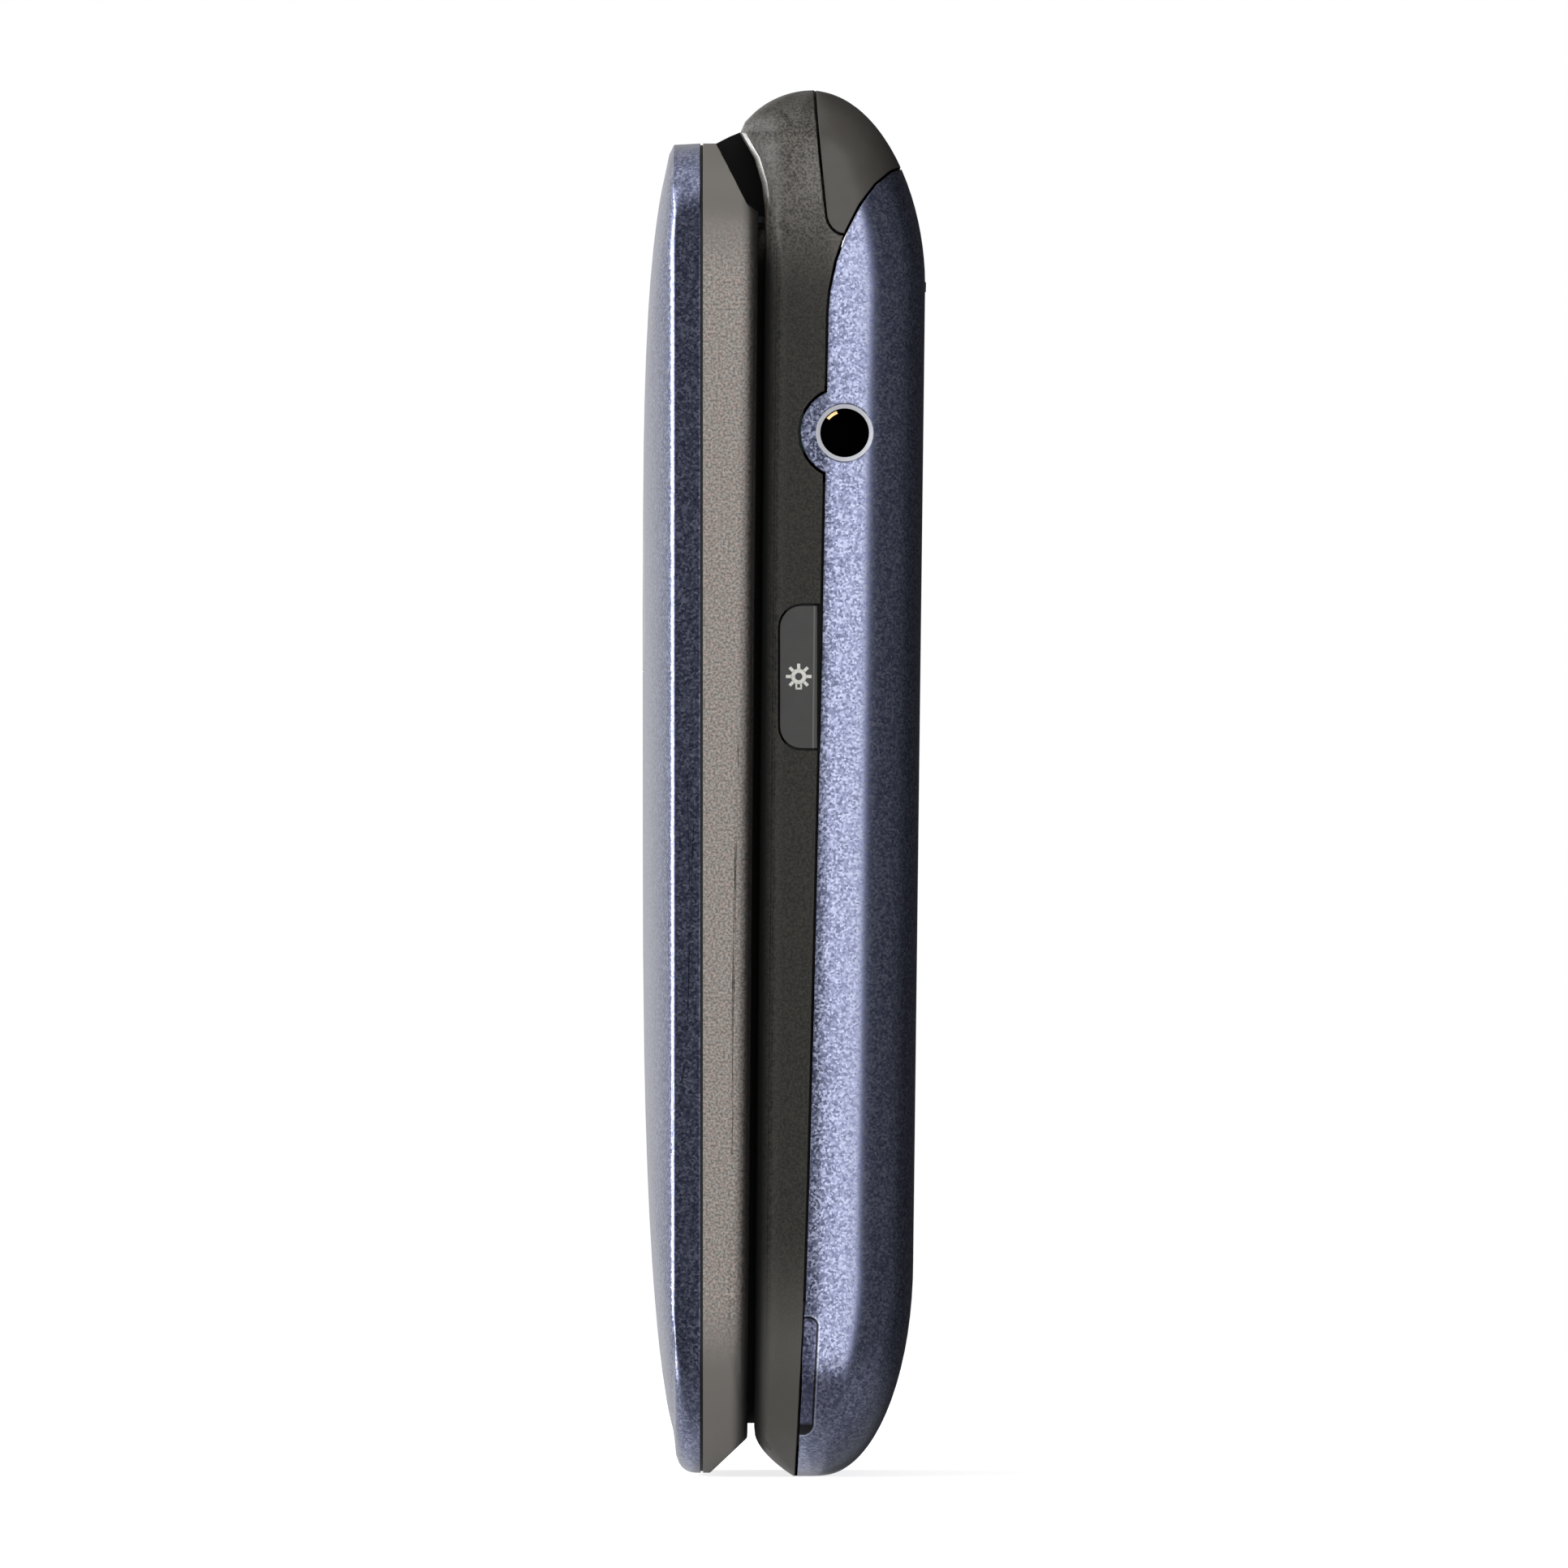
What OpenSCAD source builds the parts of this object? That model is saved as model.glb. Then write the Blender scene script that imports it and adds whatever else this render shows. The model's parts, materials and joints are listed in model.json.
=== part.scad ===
// Flip phone, closed and standing on its lower end.
// +Z runs from the resting end to the hinge, -X is the front of the lid, +X the battery side.

/* [Overall] */
// Width across the hinge
body_w = 52; // [50:0.5:56]
// Length from the resting end to the top of the hinge ears
base_len = 102.3; // [100:0.1:108]
// Air gap between the closed lid and the keypad face
lid_gap = 0.5; // [0.4:0.05:0.7]
// Lean of the keypad face, in degrees
face_lean = 0.53; // [0.3:0.01:0.8]
// Place of the keypad face from the middle plane, at the resting end
face_x = -2.25; // [-2.6:0.05:-2]
// Width of the dark seams between the shells
seam_gap = 0.2; // [0.15:0.01:0.3]

/* [Base shape] */
// Depth of the base above its heel
base_t = 11.75; // [11.5:0.05:13]
// Lean of the flat back, in degrees
back_lean = 0.7; // [0.4:0.05:1]
// Height of the rounded heel
heel_h = 16; // [13:0.5:18]
// Depth of the rounded heel
heel_d = 6.8; // [6:0.1:7.5]
// Height of the chamfer at the toe
toe_h = 3.5; // [3:0.1:4]
// Depth of the chamfer at the toe
toe_d = 2.95; // [2.5:0.05:3.2]
// Height of the rounded back of the hinge hump
hump_h = 14.3; // [12:0.1:16]
// Depth of the hump's crown behind the keypad face
crown_d = 4.38; // [4.2:0.02:4.6]
// Radius of the front of the hinge ears
ear_r = 6.54; // [6.3:0.02:6.7]
// How far the nose of the ears stands in front of the keypad face
nose_d = 1.9; // [1.6:0.05:2]
// Height of the nose below the top of the ears
nose_drop = 3.2; // [2.9:0.05:3.5]
// Corner radius at the resting end
low_corner_r = 10; // [8:0.5:12]
// Corner radius of the hinge ears
top_corner_r = 5; // [4:0.25:6]
// Reach of the rounded long edges on to the back
back_edge_w = 5.5; // [4.5:0.1:6.5]
// Depth of the rounded long edges
back_edge_d = 4.4; // [3.8:0.1:5]
// Radius of the small front edges
front_edge_r = 0.8; // [0.6:0.05:1]
// How far the sides draw in from the seam to the keypad face
side_taper = 0.6; // [0.3:0.05:0.8]

/* [Base shells] */
// Wall of the front housing
housing_t = 1.1; // [1:0.05:1.3]
// Wall of the rear cap and of the battery cover
cover_t = 1.2; // [1:0.05:1.4]
// Depth of the cover's seam behind the middle plane at the resting end
seam_low_x = 0.85; // [0.7:0.05:1.1]
// Depth of the cover's seam behind the middle plane below the cap
seam_high_x = 3.15; // [3:0.05:3.4]
// Height below the ears where the seam starts to sweep back
seam_drop = 16.5; // [15:0.1:18]
// Depth of the seam's sweep
sweep_d = 5.6; // [5.2:0.1:6]
// Height of the seam's sweep
sweep_h = 10.8; // [9.5:0.1:11.5]

/* [Hinge] */
// Hinge axis behind the keypad face plane
hinge_d = 4.86; // [4.7:0.02:5]
// Hinge axis below the top of the ears
hinge_drop = 4.62; // [4.5:0.02:4.8]
// Radius of the lid's hinge barrel
barrel_r = 3.7; // [3.4:0.05:3.8]
// Width of each hinge ear
ear_w = 10; // [9.5:0.25:12]
// Gap between the barrel and the base
barrel_gap = 0.3; // [0.25:0.05:0.45]
// Radius of the hinge shaft
shaft_r = 1.4; // [1.2:0.05:1.6]
// Running clearance in the hinge, on the radius
run_gap = 0.05; // [0.03:0.01:0.09]
// How far the lid opens, in degrees
lid_open = 160; // [150:1:165]

/* [Lid] */
// Height of the lid's hinge end below the top of the ears
lid_drop = 3.9; // [3.7:0.05:4.3]
// Height of the lid's far end above the resting plane
lid_lift = 0.24; // [0.2:0.02:0.6]
// Depth of the lid frame at the resting end
frame_t = 3.37; // [3.3:0.01:3.8]
// Depth of the coloured band round the lid
band_t = 2.04; // [1.8:0.05:2.3]
// Height of the crown over the band
crown_h = 2.35; // [2:0.05:2.6]
// How far the band draws in towards the front
band_taper = 0.6; // [0.3:0.05:0.8]
// Wall of the lid cover
lid_cover_t = 1.1; // [1:0.05:1.3]
// Front wall of the lid frame
lid_frame_t = 1.6; // [1.5:0.05:1.8]
// Depth of the lid's recess over the keypad
recess_d = 0.4; // [0.36:0.01:0.45]
// Corner radius at the lid's hinge end
lid_corner_r = 7; // [6:0.25:8]
// Chamfer at the far end of the lid frame
frame_toe = 2.75; // [2.4:0.05:3]
// Distance from the hinge axis to the cut-back rails of the lid
rail_clear_r = 6.53; // [6.5:0.01:6.8]

/* [Screens] */
// Distance of the main window from the lid's sides
window_side = 6; // [5.5:0.25:8]
// Distance of the main window from the lid's hinge end
window_drop = 10.4; // [10:0.1:14]
// Distance of the main window from the lid's far end
window_low = 19.8; // [18:0.1:24]
// Thickness of the main window
window_t = 0.8; // [0.6:0.05:1]
// Printed border beside the main display
display_side = 1.7; // [1.4:0.1:3]
// Printed border above and below the main display
display_end = 7.75; // [5:0.25:10]
// Thickness of the main display
display_t = 1.4; // [1.2:0.05:1.5]
// Width of the outer window
outer_w = 26; // [22:0.5:30]
// Height of the outer window
outer_h = 17; // [14:0.5:20]
// Distance of the outer window's middle from the lid's hinge end
outer_drop = 30.4; // [26:0.2:34]

/* [Keypad] */
// Distance of the keys from the sides of the phone
key_side = 7; // [6.6:0.1:7.4]
// Distance between number keys across the phone
key_web_y = 1; // [0.9:0.05:1.4]
// Distance between number keys along the phone
key_web_z = 1.8; // [1.4:0.1:2.4]
// Distance of the direction ring's middle below the top of the ears
ring_drop = 33.1; // [32:0.1:34]
// Height of the keypad's raised plate
pad_h = 0.62; // [0.6:0.01:0.68]
// Height of the lowest row of keys
key_row_z = 14; // [12.5:0.1:15]
// How far a key travels
key_travel = 0.35; // [0.25:0.05:0.4]
// How far a key stands over the plate or wall round it
key_proud = 0.1; // [0.05:0.01:0.12]
// Gap round each key
key_gap = 0.15; // [0.1:0.01:0.2]
// Outer size of the direction ring
ring_s = 17; // [16:0.1:18]
// Radius of the centre key
centre_r = 4; // [3.6:0.1:4.4]

/* [Side features] */
// Radius of the headset jack's bore
jack_r = 1.8; // [1.78:0.01:1.84]
// Jack axis below the top of the ears
jack_drop = 25.3; // [24.5:0.1:26]
// Jack axis behind the middle plane
jack_x = 4.43; // [4.35:0.01:4.5]
// Radius of the rounded lug of the cover at the jack
jack_lug_r = 3.36; // [3.2:0.02:3.5]
// Length of the torch key
torch_key_l = 10.5; // [9:0.1:12]
// Distance of the torch key's middle below the top of the ears
torch_key_drop = 43.3; // [42:0.1:45]
// Corner radius of the torch key
torch_key_r = 1.6; // [1.2:0.05:1.8]
// Length of each volume key
volume_l = 9; // [8:0.1:10]
// Width of the charging socket
socket_w = 7.4; // [7:0.1:7.8]
// Depth of the charging socket
socket_h = 2.1; // [1.9:0.05:2.1]
// Distance of the charging socket's middle below the top of the ears
socket_drop = 68.3; // [66:0.1:70]
// Length of the thumbnail recess
nail_l = 8.8; // [7:0.1:9.6]

/* [Inside] */
// Thickness of the main board
board_t = 0.8; // [0.6:0.05:0.9]
// Thickness of the battery
battery_t = 5; // [4.5:0.05:5.1]
// Distance of the battery from the sides of the phone
battery_side = 7; // [6:0.25:8]
// Height of the battery's lower end
battery_low = 17.3; // [17:0.1:20]
// Distance of the battery's upper end below the top of the ears
battery_drop = 36; // [35.5:0.1:40]
// Thickness of the middle frame
frame_plate_t = 1; // [0.8:0.05:1.1]
// Clearance between inner pieces
fit_gap = 0.1; // [0.06:0.01:0.15]

/* [Hidden] */
half_w = body_w / 2;
heel_x = face_x + base_t;
crown_x = face_x + crown_d;
hump_z = base_len - hump_h;
nose_z = base_len - nose_drop;
neck_z = hump_z + 3;
hinge_x = face_x + hinge_d;
hinge_z = base_len - hinge_drop;
lid_top = base_len - lid_drop;
seam_top = base_len - seam_drop;
jack_z = base_len - jack_drop;
ear_y = half_w - ear_w;
barrel_half = ear_y - 0.4;
barrel_l = 2 * barrel_half;
ear_wall = 1.2;
neck_d = 2.1;
neck_r = 1.2;
neck_h = 5.6;
cartridge_r = barrel_r - 0.8;
cartridge_l = 14;
bush_r = 2;
ribbon_y = 6;
big = 60;
lid_seam_x = face_x - lid_gap - frame_t;
crease_lift = 3.2;
window_w = body_w - 2 * window_side;
window_l = lid_top - window_drop - window_low;
window_z = window_low + window_l / 2;
display_w = window_w - 2 * display_side;
display_l = window_l - 2 * display_end;
outer_z = lid_top - outer_drop;
ear_slot_z = window_low - 8.3;
bumper_y = half_w - 9;
bumper_z = 6.5;
bumper_r = 1.6;
lid_wall = 2;
lip_in = 1.5;
lip_h = 0.9;
stop_w = 24;
lid_board_d = recess_d + window_t + display_t + 0.3;
lid_board_x = face_x - lid_gap - lid_board_d - 0.6;

// Depth layers of the base, measured back from the keypad face
flange_d = housing_t + 0.05;
flange_t = 0.35;
dome_d = flange_d + flange_t + key_travel + 0.1;
board_d = dome_d + 0.25;
plate_d = board_d + board_t + 0.95;
bay_d = plate_d + frame_plate_t + fit_gap;
board_top = base_len - 12.5;
battery_w = body_w - 2 * battery_side;
battery_l = base_len - battery_drop - battery_low;
battery_z = battery_low + battery_l / 2;
boss_r = 1.6;
switch_y = half_w - 5.5;
socket_in = 6.3;
jack_in = half_w - 14.6;

// Camera, lamp and loudspeaker behind the back, near the hinge
eye_z = base_len - 15.3;
eye_r = 3.4;
camera_y = -3;
lamp_y = camera_y - 7.5;
speaker_y = half_w / 2;
slot_steps = [-2.5, -0.8, 2.9];
pip_h = 0.15;
tower_d = back_flat(eye_z) - face_at(eye_z) - 1.65;

torch_key_z = base_len - torch_key_drop;
socket_z = base_len - socket_drop;
ring_z = base_len - ring_drop;
soft_z = ring_z + 6.5;
call_z = ring_z - 6.5;
key_half = half_w - key_side;
key_w = (2 * key_half - 2 * key_web_y) / 3;
key_pitch_y = key_w + key_web_y;
key_pitch_z = (ring_z - 24 - key_row_z) / 3;
key_h = key_pitch_z - key_web_z;
outer_key_w = key_half - ring_s / 2 - 2.6;
outer_key_y = key_half - outer_key_w / 2;
outer_key_h = 8.6;

KEYS = concat(
    [for (row = [0:3], col = [0:2])
        [str("key_", row == 0 ? ["star", "0", "hash"][col] : str(3 * (3 - row) + col + 1)),
            key_pitch_y * (1 - col), key_row_z + row * key_pitch_z, key_w, key_h, 1.6]],
    [for (side = [1, -1]) [side > 0 ? "soft_key_left" : "soft_key_right",
        side * outer_key_y, soft_z, outer_key_w, outer_key_h, 2.2]],
    [for (side = [1, -1]) [side > 0 ? "call_key" : "end_key",
        side * outer_key_y, call_z, outer_key_w, outer_key_h, 2.2]]);

// ---------- outlines of the base, seen from the side ----------

function face_at(z) = face_x + tan(face_lean) * (z - toe_h);

// Front edge of the base: toe chamfer, leaning face, forward-swinging neck, round ear
function front_at(z) =
    z < toe_h ? face_at(z) + toe_d * pow(1 - z / toe_h, 1.8) :
    z < neck_z ? face_at(z) :
    max(face_at(z) - nose_d * pow((z - neck_z) / (nose_z - neck_z), 3.2),
        crown_x - sqrt(max(0, pow(ear_r, 2) - pow(max(0, z - base_len + ear_r), 2))));

function lid_face_at(z) = face_at(z) - lid_gap;

function back_flat(z) = heel_x + tan(back_lean) * (z - heel_h);

// Rear edge of the base: elliptical heel, leaning flat, superelliptical hump
function back_at(z) =
    z < heel_h ? heel_x - heel_d + heel_d * sqrt(max(0, 1 - pow(1 - z / heel_h, 2))) :
    z < hump_z ? back_flat(z) :
    crown_x + (back_flat(hump_z) - crown_x)
        * pow(max(0, 1 - pow((z - hump_z) / hump_h, 1.92)), 1 / 1.92);

// Half width of the base at a height, with round corners at both ends
function side_at(z) =
    z < low_corner_r ? half_w - low_corner_r
        + sqrt(max(0, pow(low_corner_r, 2) - pow(low_corner_r - z, 2))) :
    z > base_len - top_corner_r ? half_w - top_corner_r
        + sqrt(max(0, pow(top_corner_r, 2) - pow(z - base_len + top_corner_r, 2))) :
    half_w;

// Depth of the seam between front housing and battery cover
function seam_at(z) = seam_low_x + (seam_high_x - seam_low_x) * pow(max(0, z) / seam_top, 0.7);

// ---------- building blocks ----------

// Closed skin through rings of equally many points, capped at both ends
module loft(rings) {
    n = len(rings[0]);
    m = len(rings);
    sides = [for (i = [0:m - 2], j = [0:n - 1])
        each [[i * n + j, (i + 1) * n + j, (i + 1) * n + (j + 1) % n],
              [i * n + j, (i + 1) * n + (j + 1) % n, i * n + (j + 1) % n]]];
    caps = [[for (j = [0:n - 1]) j], [for (j = [n - 1:-1:0]) (m - 1) * n + j]];
    polyhedron([for (ring = rings) each ring], concat(sides, caps), convexity = 6);
}

// Outline of a rectangle with round corners, as points from its lower right corner on
function round_box(w, low, high, r_low, r_high, steps = 6) = [
    for (c = [[1, low, r_low, -90], [1, high, r_high, 0], [-1, high, r_high, 90],
              [-1, low, r_low, 180]], a = [0:90 / steps:90])
        [c[0] * (w - c[2]) + c[2] * cos(c[3] + a),
         c[1] + (c[1] == low ? c[2] : -c[2]) + c[2] * sin(c[3] + a)]];

module round_rect(w, h, r, steps = 4) {
    polygon(round_box(w / 2, -h / 2, h / 2, r, r, steps));
}

// Extrudes an outline drawn in X and Z across the phone, centred
module across(w) {
    rotate([90, 0, 0]) linear_extrude(height = w, center = true) children();
}

// Extrudes an outline drawn in Y and Z back from a depth
module through(x, depth) {
    translate([x, 0, 0]) rotate([90, 0, 90]) linear_extrude(height = depth) children();
}

// Frame that leans with the keypad face, its X measured back from that face
module leaning() {
    translate([face_x, 0, toe_h]) rotate([0, face_lean, 0]) translate([0, 0, -toe_h]) children();
}

// Block given by its low and high corners
module block(low, high) {
    translate(low) cube(high - low);
}

module rod_x(x, y, z, r, l) {
    translate([x, y, z]) rotate([0, 90, 0]) cylinder(h = l, r = r, $fn = 32);
}

module rod_y(x, y, z, r, l) {
    translate([x, y + l, z]) rotate([90, 0, 0]) cylinder(h = l, r = r, $fn = 48);
}

// Where the taper of the sides ends, as a share of the flat of the side
waist_share = 0.58;

// One level slice of the base, drawn in by a wall
function base_ring(z, z_out, wall) =
    let (mid = (front_at(z) + back_at(z)) / 2,
         half_d = max(0.1, (back_at(z) - front_at(z)) / 2 - wall),
         w = side_at(z) - wall,
         front = mid - half_d,
         back = mid + half_d,
         edge = min(front_edge_r, 0.4 * half_d),
         edge_d = min(back_edge_d, 0.8 * half_d),
         waist = front + edge + waist_share * (2 * half_d - edge - edge_d),
         narrow = w - side_taper * min(1, half_d / 4))
    let (right = concat(
        [for (a = [180:30:270]) [front + edge + edge * cos(a), edge - narrow + edge * sin(a)]],
        [[waist, -w]],
        [for (a = [270:15:360]) [back - edge_d + edge_d * cos(a),
            back_edge_w - w + back_edge_w * sin(a)]]))
    concat([for (p = right) [p[0], p[1], z_out]],
        [for (i = [len(right) - 1:-1:0]) [right[i][0], -right[i][1], z_out]]);

base_levels = concat(
    [for (a = [0:10:80]) heel_h * (1 - cos(a))],
    [heel_h],
    [for (i = [0:6]) hump_z + (nose_z - hump_z) * i / 6],
    [for (a = [15:15:90]) nose_z + (base_len - nose_z) * sin(a)]);

// Whole outside of the base, drawn in by a wall
module base_form(wall) {
    middle = base_len / 2;
    squeeze = (middle - wall) / middle;
    loft([for (z = base_levels)
        base_ring(min(z, base_len - 0.02), middle + (z - middle) * squeeze, wall)]);
}

// ---------- how the base splits into shells, seen from the side ----------

sweep_n = 1.67;

module cover_area() {
    polygon(concat(
        [[seam_low_x, -5]],
        [for (i = [0:8]) [seam_at(seam_top * i / 8), seam_top * i / 8]],
        [for (a = [12:13:90]) [seam_high_x + sweep_d * (1 - pow(cos(a), 2 / sweep_n)),
            seam_top + sweep_h * pow(sin(a), 2 / sweep_n)]],
        [[seam_high_x + sweep_d, seam_top + sweep_h], [big, seam_top + sweep_h], [big, -5]]));
}

// Round lug of the cover at the headset jack, widened by a gap
module jack_lug(gap) {
    rod_y(jack_x, -half_w - 1, jack_z, jack_lug_r + gap, 6);
}

cap_x = crown_x + 0.1;
cap_foot = base_len - 9;
cap_lean = 0.8;

module cap_area() {
    difference() {
        polygon(concat(
            [[cap_x, base_len + 5], [cap_x, base_len]],
            [for (i = [1:5]) [cap_x + cap_lean * pow(i / 5, 1.2),
                base_len + (cap_foot - base_len) * i / 5]],
            [for (a = [195:15:270]) [cap_x + cap_lean + 1.4 + 1.4 * cos(a), cap_foot + 1.7 * sin(a)]],
            [[big, cap_foot - 1.7], [big, base_len + 5]]));
        cover_area();
    }
}

module housing_area() {
    difference() {
        polygon([[-20, -5], [big / 2, -5], [big / 2, base_len + 5], [-20, base_len + 5]]);
        cover_area();
        cap_area();
    }
}

// Tongues of the front housing that lap the inner part of its seams, widened by a gap
module seam_tongues(gap) {
    across(2 * (ear_y + ear_wall - 0.1 + gap)) {
        offset(delta = gap) translate([cap_x - 0.5, neck_z - 0.1]) square([2.4, 2.5]);
        offset(delta = gap) translate([cap_x - 0.5, neck_z]) square([1.4, base_len - neck_z + 1]);
    }
    across(2 * (half_w - low_corner_r - 4 + gap)) offset(delta = gap)
        translate([seam_low_x - 0.5, -1]) square([1.1, 3.2]);
}

module cover_zone() {
    difference() {
        across(body_w + 10) offset(delta = -seam_gap / 2) cover_area();
        seam_tongues(fit_gap);
    }
    jack_lug(-seam_gap / 2);
}

module cap_zone() {
    difference() {
        across(body_w + 10) offset(delta = -seam_gap / 2) cap_area();
        seam_tongues(fit_gap);
    }
}

module housing_zone() {
    difference() {
        union() {
            across(body_w + 10) offset(delta = -seam_gap / 2) housing_area();
            seam_tongues(0);
        }
        jack_lug(seam_gap / 2);
    }
}

// ---------- hinge ----------

// Side outline of the barrel and the neck that joins it to the lid
module neck_outline() {
    translate([hinge_x, hinge_z]) circle(r = barrel_r, $fn = 48);
    hull() {
        translate([hinge_x, hinge_z]) circle(r = barrel_r - 0.02, $fn = 48);
        translate([face_at(lid_top) - neck_d, lid_top - 0.5]) circle(r = neck_r, $fn = 24);
        translate([lid_seam_x + 1, lid_top - neck_h])
            square([lid_face_at(lid_top) - 0.9 - lid_seam_x - 1, neck_h]);
    }
}

// Room that the barrel and the neck need in the base, from closed to open
module hinge_notch() {
    reach = 14;
    low = 180 + 49;
    high = 180 - 14 - lid_open - 3;
    across(2 * ear_y) {
        translate([hinge_x, hinge_z]) circle(r = barrel_r + barrel_gap, $fn = 48);
        for (open = [0, lid_open + 1]) offset(delta = barrel_gap)
            translate([hinge_x, hinge_z]) rotate(-open) translate([-hinge_x, -hinge_z]) neck_outline();
        translate([hinge_x, hinge_z]) polygon([[0, 0], reach * [cos(high), sin(high)],
            [reach, reach], [-reach, reach], [-reach, -reach * 0.7],
            reach * [cos(low), sin(low)]]);
    }
}

// Hollow of the base shells: one room below the barrel, one in each ear
module base_hollow(wall) {
    difference() {
        base_form(wall);
        block([-big / 2, -ear_y - ear_wall, hinge_z - barrel_r - 2.6],
            [big / 2, ear_y + ear_wall, base_len + 1]);
    }
}

// Cut for the shaft and the bush in the ears' inner walls
module ear_bores() {
    rod_y(hinge_x, -ear_y - ear_wall - 1, hinge_z, shaft_r + fit_gap, ear_wall + 2);
    rod_y(hinge_x, ear_y - 1, hinge_z, bush_r + fit_gap, ear_wall + 2);
}

module front_housing() {
    color("#3c3a38") difference() {
        union() {
            difference() {
                intersection() {
                    base_form(0);
                    housing_zone();
                }
                base_hollow(housing_t);
                ear_bores();
                side_openings();
            }
            leaning() through(-pad_h, pad_h + 0.3) base_outline(5.4, 3.9, neck_z + 1.4, 5);
        }
        hinge_notch();
        leaning() through(-1, housing_t + 2) keypad_openings(key_gap);
    }
    color("#3c3a38") for (p = screw_places)
        leaning() difference() {
            rod_x(housing_t - 0.05, p[0], p[1], boss_r, plate_d - housing_t + 0.04);
            rod_x(housing_t + 0.5, p[0], p[1], 0.75, plate_d);
        }
}

screw_places = [for (y = [-1, 1], z = [12.5, base_len - 18]) [y * (half_w - 4.2), z]];

module keypad_openings(gap) {
    for (key = KEYS) translate([key[1], key[2]])
        round_rect(key[3] + 2 * gap, key[4] + 2 * gap, key[5] + gap);
    translate([0, ring_z]) round_rect(ring_s + 2 * gap, ring_s + 2 * gap, 4 + gap);
    translate([0, 6.5]) round_rect(3, 0.8, 0.39);
}

// ---------- keys ----------

module key_body(w, h, r) {
    through(-pad_h - key_proud, flange_d + pad_h + key_proud + 0.1) round_rect(w, h, r);
    through(flange_d, flange_t) round_rect(w + 0.6, h + 0.6, r + 0.3);
    rod_x(flange_d, 0, 0, 1, flange_t + 0.1);
}

module keypad_key(key) {
    color("#2d2e31") leaning() translate([0, key[1], key[2]]) key_body(key[3], key[4], key[5]);
}

module direction_ring() {
    color("#8f949c") leaning() translate([0, 0, ring_z]) difference() {
        union() {
            through(-pad_h - key_proud, flange_d + pad_h + key_proud + 0.1) round_rect(ring_s, ring_s, 4);
            through(flange_d, flange_t) round_rect(ring_s + 0.6, ring_s + 0.6, 4.3);
        }
        rod_x(-1, 0, 0, centre_r + key_gap, flange_d + 1);
        rod_x(flange_d - 0.1, 0, 0, centre_r + 0.3 + key_gap, 2);
    }
}

module centre_key() {
    color("#2d2e31") leaning() translate([0, 0, ring_z]) {
        rod_x(-pad_h - key_proud, 0, 0, centre_r, flange_d + pad_h + key_proud + flange_t);
        rod_x(flange_d, 0, 0, 1, flange_t + 0.1);
    }
}

// Front and rear limits of a side key's cap at a height
function key_front(z) = face_at(z) + 1.4;
function key_back(z) = seam_at(z) - seam_gap / 2 - 0.12;

// Outline of a key in the side wall: round towards the lid, square at the seam
module side_key_outline(z, l, gap, back) {
    intersection() {
        hull() {
            for (s = [-1, 1]) translate([key_front(z) + torch_key_r, z + s * (l / 2 - torch_key_r)])
                circle(r = torch_key_r + gap, $fn = 24);
            translate([back - 0.5, z - l / 2 - gap]) square([0.5, l + 2 * gap]);
        }
        translate([back - big, z - l]) square([big, 2 * l]);
    }
}

// Everything inside the tapering side at a height, moved out by a step
module side_slab(side, z, step) {
    front = face_at(z) + front_edge_r;
    back = back_flat(z);
    waist = front + waist_share * (back - front - back_edge_d);
    translate([0, 0, z - 10]) linear_extrude(height = 20) scale([1, side])
        polygon([[front, 0], [front, half_w - side_taper + step], [waist, half_w + step], [waist, 0]]);
}

// Cap of a side key, flush with the side, and the flange that holds it in
module side_key(side, z, l) {
    flange_y = half_w - housing_t - side_taper - 0.45;
    intersection() {
        side_slab(side, z, key_proud);
        translate([0, side * (flange_y + 1.5), 0]) across(3) side_key_outline(z, l, 0, key_back(z));
    }
    translate([0, side * flange_y, 0]) across(0.4)
        translate([(key_front(z) + key_back(z)) / 2 + 0.15, z])
            round_rect(key_back(z) - key_front(z) - 0.6, l + 1, 0.3);
}

module side_openings() {
    translate([0, -half_w, 0]) across(6)
        side_key_outline(torch_key_z, torch_key_l, key_gap, seam_at(torch_key_z) + 1);
    for (z = volume_zs)
        translate([0, half_w, 0]) across(6) side_key_outline(z, volume_l, key_gap, seam_at(z) + 1);
    translate([socket_x, half_w, socket_z]) rotate([90, 0, 0])
        linear_extrude(height = 8, center = true)
            round_rect(socket_h + 2 * fit_gap, socket_w + 2 * fit_gap, 0.9);
}

volume_zs = [torch_key_z - 5.5, torch_key_z + 7];
socket_x = face_at(socket_z) + 2.45;

module torch_key() {
    color("#4a4b4a") side_key(-1, torch_key_z, torch_key_l);
}

module volume_up_key() {
    color("#4a4b4a") side_key(1, volume_zs[1], volume_l);
}

module volume_down_key() {
    color("#4a4b4a") side_key(1, volume_zs[0], volume_l);
}

// ---------- base shells behind the seam ----------

module rear_cap() {
    color("#565350") difference() {
        intersection() {
            base_form(0);
            cap_zone();
        }
        base_hollow(cover_t);
        hinge_notch();
        ear_bores();
    }
}

// Places an outline drawn in Y and Z on the flat back, X measured out from it
module on_back(z) {
    translate([back_flat(z), 0, z]) rotate([0, back_lean, 0]) children();
}

// Long round outline of the window over camera and lamp
module eye_outline(r) {
    hull() for (y = [camera_y, lamp_y]) translate([y, 0]) circle(r = r, $fn = 32);
}

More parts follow.
